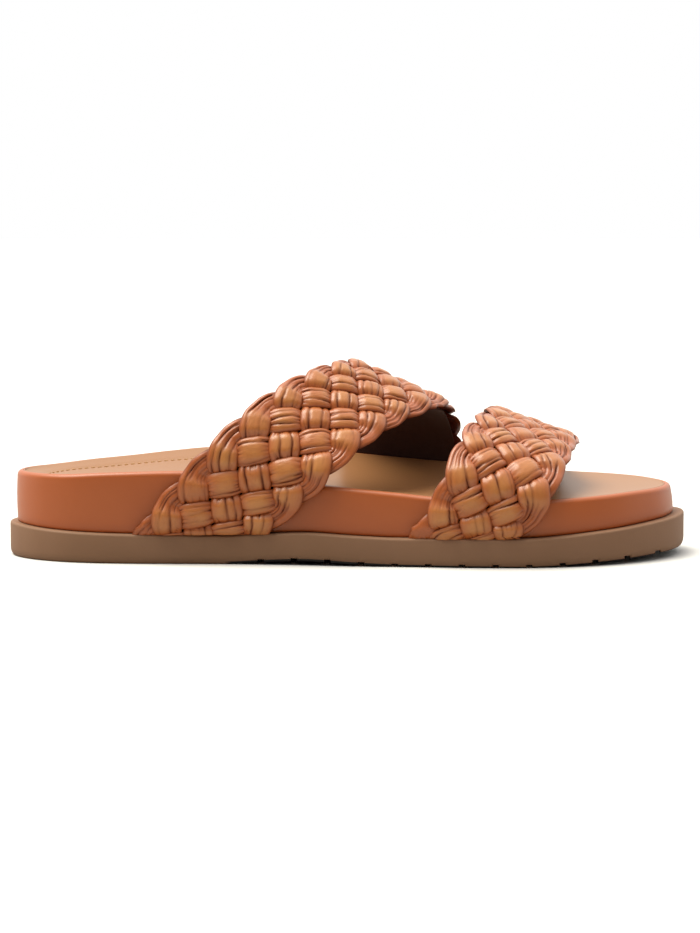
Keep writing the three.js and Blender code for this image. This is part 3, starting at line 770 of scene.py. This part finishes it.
# how far a fold runs to either side of its crossing, in rows, and how it fades and wanders on its way
FOLD_REACH = 0.66
LOOP_FOLD_REACH = 1.5
FOLD_FADE = 0.12
FOLD_DRIFT = 0.16
FOLD_SWAY = 0.07
SWAY_RATE = 5
FOLD_STRENGTH = 0.75
STRENGTH_SWING = 0.3
SWING_RATE = 4
# the short pleats where a strip comes out from under another
PLEATS = 5
PLEAT_SPREAD = 0.85
PLEAT_STRENGTHS = (0.15, 0.55)
PLEAT_LENGTHS = (0.15, 0.4)
PLEAT_GATHER = 0.25
PLEAT_FINENESS = 1.6
# how dark the painted shade gets in the folds, on the strip's edges and where it dips under, from 0 to 1
FOLD_DARKNESS = 2.8
SHOULDER_DARKNESS = 0.15
FOLD_DARKEST = 0.95
EDGE_START = 0.86
EDGE_DARKNESS = 0.55
DIP_DARKNESS = 0.6
# how the crests' paleness, partly rubbing and partly a painted highlight, fades towards the strip's edges
# and in the fold shoulders
RUBBED_HIGHLIGHT_POWER = 3
RUBBED_HIGHLIGHT_LOSS = 0.8
ANGLES = np.linspace(0, math.pi / 2, ARCH_POINTS)


def strap_edge(strap, column, across):
    rear, front = STRAPS[strap][3]
    return rear[column] + (front[column] - rear[column]) * (across + STRIPS / 2) / STRIPS


def strap_x(strap, across, way):
    """Length along the sole at a way over the strap: 0 outer foot, 1 ridge, 2 inner foot."""
    foot, ridge, inner = (strap_edge(strap, column, across) for column in (FOOT, RIDGE, INNER_FOOT))
    past = way - 1
    soft = (past + RIDGE_BLEND) ** 2 / (4 * RIDGE_BLEND) if abs(past) < RIDGE_BLEND else max(past, 0)
    up = min(max(way, 0), 1)
    # the bow peaks a third of the way up, where up * (1 - up) ** 2 is 4 / 27
    bow = strap_edge(strap, BOW, across) * 27 / 4 * up * (1 - up) ** 2
    return SOLE_LENGTH * (foot + (ridge - foot) * (way - soft) + (inner - ridge) * soft + bow)


def wall_line(side, x):
    sign = -1 if side == "outer" else 1
    return sign * (half_width(side, (x - LEDGE_HEEL) / BED_LENGTH) + CLEARANCE)


def strap_point(strap, across, way):
    """A point of the strap's inner face: up the midsole's wall, then an arch to the ridge."""
    side = "outer" if way <= 1 else "inner"
    share = way if way <= 1 else 2 - way
    x = strap_x(strap, across, way)
    foot = ledge_height(x) + CLEARANCE
    wall_top = rim_height(side, (x - LEDGE_HEEL) / BED_LENGTH) + WALL_ABOVE_RIM
    rise = max(INSTEP_HEIGHT * strap_edge(strap, HEIGHT, across) - wall_top, 1)
    wall_y = wall_line(side, x)
    power = 2 / strap_edge(strap, ARCH, across)
    out = np.concatenate(([1], np.cos(ANGLES[:-1]) ** power, [0]))
    up = np.concatenate(([foot], wall_top + rise * np.sin(ANGLES) ** power))
    steps = np.hypot(np.diff(out) * (wall_y - RIDGE_OFFSET), np.diff(up))
    lengths = np.concatenate(([0], np.cumsum(steps)))
    goal = share * lengths[-1]
    if goal < 0:
        return x, wall_y, foot + goal
    y = RIDGE_OFFSET + (wall_y - RIDGE_OFFSET) * np.interp(goal, lengths, out)
    return x, y, np.interp(goal, lengths, up)


class StrapSurface:
    """The inner face of a strap over the plait's own grid: across its strips, and by rows along it."""

    EDGE = STRIPS / 2 + 0.8
    STEP = 0.1
    WAYS = np.linspace(-1, 3, 401)
    FOOT_WAYS = (-0.06, 2.06)
    LEDGE_POINTS = 200

    def __init__(self, strap):
        self.strap = strap
        start, lean, crown = STRAPS[strap][:3]
        ways = self.WAYS
        middle = np.array([strap_point(strap, 0, way) for way in ways])
        steps = np.diff(middle, axis=0)
        lengths = np.linalg.norm(steps, axis=1)
        half_way = np.abs((ways[1:] + ways[:-1]) / 2 - 1)
        drawn = np.clip((1 - half_way - CROWN_START) / (1 - CROWN_START), 0, 1)
        pitches = STRIP_PITCH * (1 + (crown - 1) * drawn)
        rows = np.concatenate(([0], np.cumsum(2 * lengths / pitches)))
        rows += start - np.interp(0, ways, rows)
        leans = np.concatenate(([0], lean * steps[:, 0] / lengths))
        leans[0] = leans[1]
        own_ends = []
        self.across = np.arange(-self.EDGE, self.EDGE + self.STEP / 2, self.STEP)
        self.rows = np.arange(rows[0], rows[-1], self.STEP)
        self.points = np.empty((len(self.across), len(self.rows), 3))
        for i, across in enumerate(self.across):
            line = np.array([strap_point(strap, across, way) for way in ways])
            widths = np.array([strap_x(strap, 0.5, way) - strap_x(strap, -0.5, way) for way in ways])
            own_rows = rows + 2 * widths * leans * across / STRIP_PITCH
            own_ends.append(np.interp(self.FOOT_WAYS, ways, own_rows))
            for axis in range(3):
                self.points[i, :, axis] = np.interp(self.rows, own_rows, line[:, axis])
        self.ledge_at = np.linspace(0, SOLE_LENGTH, self.LEDGE_POINTS)
        self.ledge = np.array([ledge_height(x) for x in self.ledge_at])
        self.first = min(ends[0] for ends in own_ends)
        self.last = max(ends[1] for ends in own_ends)
        side = np.gradient(self.points, axis=0)
        ahead = np.gradient(self.points, axis=1)
        normals = np.cross(side, ahead)
        self.normals = normals / np.maximum(np.linalg.norm(normals, axis=2, keepdims=True), TINY)
        self.side = side / self.STEP
        self.ahead = ahead / self.STEP

    def sample(self, grid, across, rows):
        """A grid's value between its points; beyond its sides, the value at the side."""
        a = np.clip((across - self.across[0]) / self.STEP, 0, len(self.across) - 1.001)
        b = np.clip((rows - self.rows[0]) / self.STEP, 0, len(self.rows) - 1.001)
        i, j = a.astype(int), b.astype(int)
        s, t = (a - i)[..., None], (b - j)[..., None]
        low = grid[i, j] * (1 - t) + grid[i, j + 1] * t
        high = grid[i + 1, j] * (1 - t) + grid[i + 1, j + 1] * t
        return low * (1 - s) + high * s


# over (1) and under (-1) at each crossing of a strip's way from the rear edge to the front and back
WEAVE = [0, -1, 1, -1, 1, -1, 0, 1, -1, 1, -1, 1]


def smoother(t):
    """Eases from 0 to 1 without a kink at either end."""
    t = np.clip(t, 0, 1)
    return t * t * t * (t * (6 * t - 15) + 10)


def crease(offset):
    """A sharp fold line, and its soft shoulders, at an offset across the strip in half widths."""
    return np.array((np.exp(-np.abs(offset) / FOLD_WIDTH), np.exp(-(offset / SHOULDER_WIDTH) ** 2)))


def strip_folds(surface, s, start, c, chance):
    """Strength of the fold lines and of their shoulders, wherever the strip lies on top."""
    groove = np.zeros((2, len(s), len(c)))
    first = math.ceil(s[0] - start)
    for number in range(first, math.floor(s[-1] - start) + 1):
        leg = number % (2 * STRIPS)
        if WEAVE[leg] < 1:
            continue
        turns_before = leg == STRIPS + 1
        turns_after = leg == 2 * STRIPS - 1
        across = leg - STRIPS / 2 if leg < STRIPS else 1.5 * STRIPS - leg
        common = chance.choice(COMMON_FOLDS)
        folds = FOLDS[surface.strap].get((across, start + number), common)
        off = s - start - number
        reach_back = LOOP_FOLD_REACH if turns_before else FOLD_REACH
        reach_on = LOOP_FOLD_REACH if turns_after else FOLD_REACH
        inside = smoother((off + reach_back) / FOLD_FADE) * smoother((reach_on - off) / FOLD_FADE)
        rows = np.nonzero(inside > 0)[0]
        for at, depth in folds:
            drift = chance.uniform(-FOLD_DRIFT, FOLD_DRIFT)
            sway = chance.uniform(-FOLD_SWAY, FOLD_SWAY)
            centre = at + drift * off[rows] + sway * np.sin(SWAY_RATE * off[rows] + chance.uniform(0, 6))
            swing = np.sin(SWING_RATE * off[rows] + chance.uniform(0, 6))
            strength = depth * ((FOLD_STRENGTH + STRENGTH_SWING * swing) * inside[rows])
            groove[:, rows] += strength[:, None] * crease(c - centre[:, None])
        for end in (-1, 1):
            for k in range(PLEATS):
                at = chance.uniform(-PLEAT_SPREAD, PLEAT_SPREAD)
                depth = chance.uniform(*PLEAT_STRENGTHS)
                length = chance.uniform(*PLEAT_LENGTHS)
                near = np.clip(1 - (0.5 - end * off[rows]) / length, 0, 1) * inside[rows]
                offset = c - (at * (1 - PLEAT_GATHER * near))[:, None]
                groove[:, rows] += depth * near[:, None] * crease(PLEAT_FINENESS * offset)
    return FOLD_SCALE * groove


def strip_rings(surface, strip, seed):
    """A strip's rings in mm, how dark the painted shade and how pale the crests are at each point, and its
    lengths and widths laid flat.
    """
    chance = random.Random(seed)
    start = 2 * strip + 1
    half = STRIPS / 2
    s = np.arange(surface.first, surface.last, 1 / RINGS_PER_STRIP)
    leg = np.mod(s - start, 2 * STRIPS)
    zigzag = np.where(leg < STRIPS, leg - half, 3 * half - leg)
    past = np.maximum(np.abs(zigzag) - TURN_START, 0) / (half - TURN_START)
    across = zigzag - np.sign(zigzag) * past ** 2 * (half - LOOP_REACH)
    way = np.gradient(across, s)
    side = surface.sample(surface.side, across, s)
    ahead = surface.sample(surface.ahead, across, s)
    tangent = side * way[:, None] + ahead
    tangent /= np.linalg.norm(tangent, axis=1, keepdims=True)
    square = np.cross(surface.sample(surface.normals, across, s), tangent)
    side_side, side_ahead, ahead_ahead = (
        np.sum(a * b, axis=1) for a, b in ((side, side), (side, ahead), (ahead, ahead)))
    side_square, ahead_square = np.sum(side * square, axis=1), np.sum(ahead * square, axis=1)
    area = side_side * ahead_ahead - side_ahead ** 2
    move_across = (ahead_ahead * side_square - side_ahead * ahead_square) / area
    move_rows = (side_side * ahead_square - side_ahead * side_square) / area
    leg_length = np.sqrt(side_side + ahead_ahead + 2 * side_ahead * np.clip(way, -1, 1))
    half_strip = np.sqrt(area) / leg_length

    whole = np.floor(leg).astype(int) % (2 * STRIPS)
    mixing = smoother((leg - np.floor(leg) - 0.1) / 0.8)
    weave = np.array(WEAVE)
    level = weave[whole] * (1 - mixing) + weave[(whole + 1) % (2 * STRIPS)] * mixing
    turning = np.exp(-(past - 1) ** 2 / LOOP_SPREAD)
    half_strip *= STRIP_WIDTH_SHARE + OVER_WIDENING * np.maximum(level, 0) - LOOP_NARROWING * turning

    # the points of a ring stand closer towards the strip's edges
    tips = math.pi / 2 * 0.98
    c_top = np.sin(np.linspace(-tips, tips, TOP_POINTS)) / math.sin(tips)
    c_under = np.linspace(1, -1, UNDER_POINTS + 2)[1:-1]
    c = np.concatenate((c_top, c_under))
    is_top = np.concatenate((np.ones(TOP_POINTS), np.zeros(UNDER_POINTS)))
    hump = np.maximum(1 - np.abs(c) ** HUMP_POWER, 0) ** 0.5
    profile = np.where(is_top > 0, STRIP_HALF_THICK * hump, -UNDER_SHARE * STRIP_HALF_THICK * hump)

    line, shoulder = strip_folds(surface, s, start, c, chance)
    inner_side = np.clip(0.5 + 0.5 * c * np.sign(zigzag)[:, None], 0, 1)
    turned = np.mod(leg + half, STRIPS) - half
    for shift, depth in LOOP_FOLDS:
        fold = depth * np.exp(-((turned - shift) / LOOP_FOLD_WIDTH) ** 2) * turning
        shoulder += fold[:, None] * inner_side ** 2
    groove = (FOLD_DEPTH * line + SHOULDER_DEPTH * shoulder) * is_top

    crown = TOP_CROWN * np.maximum(level, 0)[:, None] * (1 - c ** 2) * is_top
    height = PLAIT_LEVEL + WEAVE_RISE * level[:, None] + profile + crown - groove
    a = across[:, None] + move_across[:, None] * c * half_strip[:, None]
    b = s[:, None] + move_rows[:, None] * c * half_strip[:, None]
    base = surface.sample(surface.points, a, b)
    foot = np.interp(base[..., 0], surface.ledge_at, surface.ledge)
    height *= 1 - FOOT_FLATTENING * np.exp(-np.maximum(base[..., 2] - foot, 0) / FOOT_FLAT_HEIGHT)
    points = base + surface.sample(surface.normals, a, b) * height[..., None]
    # painted shade: darker in the folds and their shoulders, at the strip's edges, where it dips under
    # another strip, and all over its underside
    edge = np.clip((np.abs(c) - EDGE_START) / (1 - EDGE_START), 0, 1)
    dark = np.clip((FOLD_DARKNESS * line + SHOULDER_DARKNESS * shoulder) * is_top, 0, FOLD_DARKEST)
    dark = dark + EDGE_DARKNESS * edge + DIP_DARKNESS * np.clip(-level[:, None], 0, 1)
    dark = dark + (1 - is_top)
    steps = np.linalg.norm(np.diff(points[:, TOP_POINTS // 2], axis=0), axis=1)
    lengths = np.concatenate(([0], np.cumsum(steps)))
    # crests painted paler where the strip lies on top: partly rubbing of the leather, partly a painted
    # highlight
    rubbed_highlight = np.clip(level[:, None], 0, 1) * (1 - np.abs(c) ** RUBBED_HIGHLIGHT_POWER) * is_top
    rubbed_highlight = rubbed_highlight - RUBBED_HIGHLIGHT_LOSS * shoulder
    return points, np.clip(dark, 0, 1), np.clip(rubbed_highlight, 0, 1), lengths, c * np.mean(half_strip)


def cut_feet(bm, strap):
    """Cuts a strap's mesh off just below the top of the ledge, on both sides, and closes the cuts."""
    for side, sign in (("outer", -1), ("inner", 1)):
        column = FOOT if side == "outer" else INNER_FOOT
        rear = SOLE_LENGTH * strap_edge(strap, column, -STRIPS / 2)
        front = SOLE_LENGTH * strap_edge(strap, column, STRIPS / 2)
        low = place(rear, 0, ledge_height(rear) - FOOT_SINK)
        high = place(front, 0, ledge_height(front) - FOOT_SINK)
        slope = high - low
        normal = Vector((-slope.z, 0, slope.x))
        verts = [vert for vert in bm.verts if vert.co.y * sign > 0]
        chosen = set(verts)
        parts = [part for kind in (bm.edges, bm.faces) for part in kind if chosen.issuperset(part.verts)]
        bmesh.ops.bisect_plane(
            bm, geom=verts + parts, dist=SEAM_WELD, plane_co=low, plane_no=normal, clear_inner=True)
        open_edges = [edge for edge in bm.edges if edge.is_boundary]
        bmesh.ops.holes_fill(bm, edges=open_edges, sides=0)
    bmesh.ops.triangulate(bm, faces=[face for face in bm.faces if len(face.verts) > 4])


def plait_mesh(surface, seed):
    """The six strips of a strap, each a closed skin made from a grid, with its UV map and two layers: how
    dark the painted shade is, and how far the crests are made pale by rubbing and a painted highlight."""
    bm = bmesh.new()
    uv_layer = bm.loops.layers.uv.new("strip")
    groove_layer = bm.verts.layers.float.new("groove")
    rubbed_highlight_layer = bm.verts.layers.float.new("rubbed_highlight")
    for strip in range(STRIPS):
        points, dark, rubbed_highlight, lengths, widths = strip_rings(surface, strip, seed + strip)
        rings, sections = points.shape[0], points.shape[1]
        grid = bmesh.ops.create_grid(bm, x_segments=rings - 1, y_segments=sections, size=1)
        spot = {}
        for vert in grid["verts"]:
            i = round((vert.co.x + 1) / 2 * (rings - 1))
            j = round((vert.co.y + 1) / 2 * sections)
            spot[vert] = (i, j)
            vert.co = place(*points[i, j % sections])
            vert[groove_layer] = dark[i, j % sections]
            vert[rubbed_highlight_layer] = rubbed_highlight[i, j % sections]
        for face in {face for vert in grid["verts"] for face in vert.link_faces}:
            for loop in face.loops:
                i, j = spot[loop.vert]
                width = widths[j] if j < sections else widths[0] - 1
                loop[uv_layer].uv = (lengths[i] * MM, width * MM)
        bmesh.ops.remove_doubles(bm, verts=grid["verts"], dist=SEAM_WELD)
    bmesh.ops.holes_fill(bm, edges=[edge for edge in bm.edges if edge.is_boundary], sides=0)
    return bm


def lining_mesh(surface):
    """The thin lining that the plait is stitched to."""
    bm = bmesh.new()
    for level in (0, LINING_THICKNESS):
        grid = bmesh.ops.create_grid(bm, x_segments=LINING_ROWS, y_segments=LINING_COLUMNS, size=1)
        for vert in grid["verts"]:
            row = surface.first + (surface.last - surface.first) * (vert.co.x + 1) / 2
            across = np.array(vert.co.y * LINING_EDGE)
            point = surface.sample(surface.points, across, np.array(row))
            normal = surface.sample(surface.normals, across, np.array(row))
            vert.co = place(*(point + normal * level))
    rims = [edge for edge in bm.edges if edge.is_boundary]
    bmesh.ops.bridge_loops(bm, edges=rims)
    bmesh.ops.recalc_face_normals(bm, faces=bm.faces)
    return bm


# Soft sheep nappa, aniline dyed and burnished by hand: warm tan, paler on the crests from rubbing and from a
# painted highlight, painted shade in dark brown in the folds, on the strips' edges, where they dip under and
# on their undersides, a satin gloss that fades in the folds, and fine wrinkles that run along each strip
NAPPA_TAN = "#bc612d"
NAPPA_LIGHT = "#d08748"
NAPPA_FOLD_SHADE = "#521c07"
NAPPA_CLOUD_MM = 11.11
WRINKLE_MM = 1.1
WRINKLE_STRETCH = 4
CREST_ROUGHNESS = 0.36
FOLD_ROUGHNESS = 0.85
nappa, tree, shader, coords = new_material("burnished_nappa", roughness=CREST_ROUGHNESS, ior=1.3)
groove = add_node(tree, "ShaderNodeAttribute", {"attribute_name": "groove"})
rubbed_highlight = add_node(tree, "ShaderNodeAttribute", {"attribute_name": "rubbed_highlight"})
cloud = add_noise(tree, coords, NAPPA_CLOUD_MM, 4)
patches = add_node(
    tree, "ShaderNodeMapRange", {"From Min": 0.35, "From Max": 0.65, "To Min": 0.35, "To Max": 1},
    {"Value": cloud.outputs["Fac"]},
)
pale = add_node(
    tree, "ShaderNodeMath", {"operation": "MULTIPLY"},
    {0: patches.outputs["Result"], 1: rubbed_highlight.outputs["Fac"]},
)
# the tan goes paler on the crests, partly from rubbing and partly as a painted highlight
tan = add_mix(tree, pale.outputs["Value"], NAPPA_TAN, NAPPA_LIGHT)
# painted shade: the tan goes to the dark fold colour where the groove layer says
tone = add_mix(tree, groove.outputs["Fac"], tan, NAPPA_FOLD_SHADE)
strip_map = add_node(
    tree, "ShaderNodeMapping",
    {"Scale": (1 / (WRINKLE_STRETCH * WRINKLE_MM * MM), 1 / (WRINKLE_MM * MM), 1)},
    {"Vector": coords.outputs["UV"]},
)
wrinkles = add_node(
    tree, "ShaderNodeTexNoise", {"Scale": 1, "Detail": 4, "Roughness": 0.6},
    {"Vector": strip_map.outputs["Vector"]},
)
add_bump(tree, shader, wrinkles.outputs["Fac"], strength=0.6, depth_mm=0.6)
gloss = add_node(
    tree, "ShaderNodeMapRange", {"To Min": CREST_ROUGHNESS, "To Max": FOLD_ROUGHNESS},
    {"Value": groove.outputs["Fac"]},
)
polish = add_node(tree, "ShaderNodeMapRange", {"To Min": 1, "To Max": 0}, {"Value": groove.outputs["Fac"]})
tree.links.new(tone, shader.inputs["Base Color"])
tree.links.new(gloss.outputs["Result"], shader.inputs["Roughness"])
tree.links.new(polish.outputs["Result"], shader.inputs["Coat Weight"])
shader.inputs["Coat Roughness"].default_value = 0.3

# Split suede backing, dyed dark brown: dull and slightly fuzzy
LINING_BROWN = "#40231a"
SUEDE_FUZZ_MM = 0.667
suede, tree, shader, coords = new_material("suede_lining", roughness=0.85)
fuzz = add_noise(tree, coords, SUEDE_FUZZ_MM, 3)
add_bump(tree, shader, fuzz.outputs["Fac"], strength=0.3, depth_mm=0.3)
shader.inputs["Base Color"].default_value = linear(LINING_BROWN)
shader.inputs["Sheen Weight"].default_value = 0.15

for strap, seed in (("rear_strap", 11), ("front_strap", 47)):
    surface = StrapSurface(strap)
    bm = plait_mesh(surface, seed)
    cut_feet(bm, strap)
    plait = finished(bm, strap + "_plait", STRIP_SHARP_ANGLE)
    plait.data.materials.append(nappa)
    bm = lining_mesh(surface)
    cut_feet(bm, strap)
    lining = finished(bm, strap + "_lining")
    lining.data.materials.append(suede)
    for piece in (plait, lining):
        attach(piece, "root")
        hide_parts(strap)

# Stage: a white paper floor that throws back less light than it shows, a surround that is bright behind
# the sandal and dim in front of it but looks plain white, and one broad soft light from above.
FLOOR_SIZE = 8
PAPER_SEEN = "#f2f1f0"
PAPER_LIT = "#b5b2ae"
SURROUND_COLOUR = (1, 0.985, 0.94, 1)
FRONT_LIGHT = 0.08
BACK_LIGHT = 0.95
LEVEL_SPREAD = 0.6
TOP_LIGHT = 0.6
TOP_LIGHT_FROM = 0.3
TOP_LIGHT_TO = 0.9
KEY_STRENGTH = 2.9
KEY_COLOUR = (1, 0.99, 0.87)
KEY_SPREAD = math.radians(42)
KEY_TILT = math.radians(-22)
bm = bmesh.new()
bmesh.ops.create_grid(bm, x_segments=1, y_segments=1, size=FLOOR_SIZE / 2)
floor = finished(bm, "studio_floor")
paper, tree, shader, coords = new_material("white_paper", roughness=0.9)
ray = add_node(tree, "ShaderNodeLightPath")
tone = add_mix(tree, ray.outputs["Is Camera Ray"], PAPER_LIT, PAPER_SEEN)
tree.links.new(tone, shader.inputs["Base Color"])
floor.data.materials.append(paper)

scene = bpy.context.scene
scene.view_settings.view_transform = "Standard"
world = bpy.data.worlds.new("studio")
scene.world = world
world.use_nodes = True
tree = world.node_tree
way = add_node(tree, "ShaderNodeTexCoord")
axis = add_node(tree, "ShaderNodeSeparateXYZ", None, {"Vector": way.outputs["Generated"]})
level_light = add_node(
    tree, "ShaderNodeMapRange",
    {"From Min": -LEVEL_SPREAD, "From Max": LEVEL_SPREAD, "To Min": FRONT_LIGHT, "To Max": BACK_LIGHT},
    {"Value": axis.outputs["Y"]},
)
top_light = add_node(
    tree, "ShaderNodeMapRange",
    {"From Min": TOP_LIGHT_FROM, "From Max": TOP_LIGHT_TO, "To Min": 0, "To Max": TOP_LIGHT},
    {"Value": axis.outputs["Z"]},
)
all_light = add_node(
    tree, "ShaderNodeMath", {"operation": "ADD"},
    {0: level_light.outputs["Result"], 1: top_light.outputs["Result"]},
)
lit = tree.nodes["Background"]
lit.inputs["Color"].default_value = SURROUND_COLOUR
tree.links.new(all_light.outputs["Value"], lit.inputs["Strength"])
seen = add_node(tree, "ShaderNodeBackground", {"Color": (1, 1, 1, 1), "Strength": 1})
ray = add_node(tree, "ShaderNodeLightPath")
both = add_node(
    tree, "ShaderNodeMixShader", None,
    {0: ray.outputs["Is Camera Ray"], 1: lit.outputs["Background"], 2: seen.outputs["Background"]},
)
tree.links.new(both.outputs["Shader"], tree.nodes["World Output"].inputs["Surface"])

sun = bpy.data.objects.new("overhead_softbox", bpy.data.lights.new("overhead_softbox", "SUN"))
sun.data.energy = KEY_STRENGTH
sun.data.angle = KEY_SPREAD
sun.data.color = KEY_COLOUR
sun.rotation_euler = (0, KEY_TILT, 0)
bpy.context.collection.objects.link(sun)

# Camera: a long lens at a low eye height, square to the outer side. Its focal length follows from the
# pixels that a millimetre of the sandal takes up.
CAMERA_DISTANCE = 1.3
EYE_TILT = math.radians(5.6)
PIXELS_PER_MM = 2.582
IMAGE_WIDTH = 700
SENSOR_WIDTH = 36
AIM_LENGTH = 131.6
AIM_HEIGHT = 33.6
target = place(AIM_LENGTH, 0, AIM_HEIGHT)
camera = bpy.data.objects.new("camera", bpy.data.cameras.new("camera"))
camera.data.sensor_fit = "HORIZONTAL"
camera.data.sensor_width = SENSOR_WIDTH
camera.data.lens = PIXELS_PER_MM / MM * CAMERA_DISTANCE * SENSOR_WIDTH / IMAGE_WIDTH
camera.location = target + CAMERA_DISTANCE * Vector((0, -math.cos(EYE_TILT), math.sin(EYE_TILT)))
camera.rotation_euler = (math.pi / 2 - EYE_TILT, 0, 0)
bpy.context.collection.objects.link(camera)
scene.camera = camera
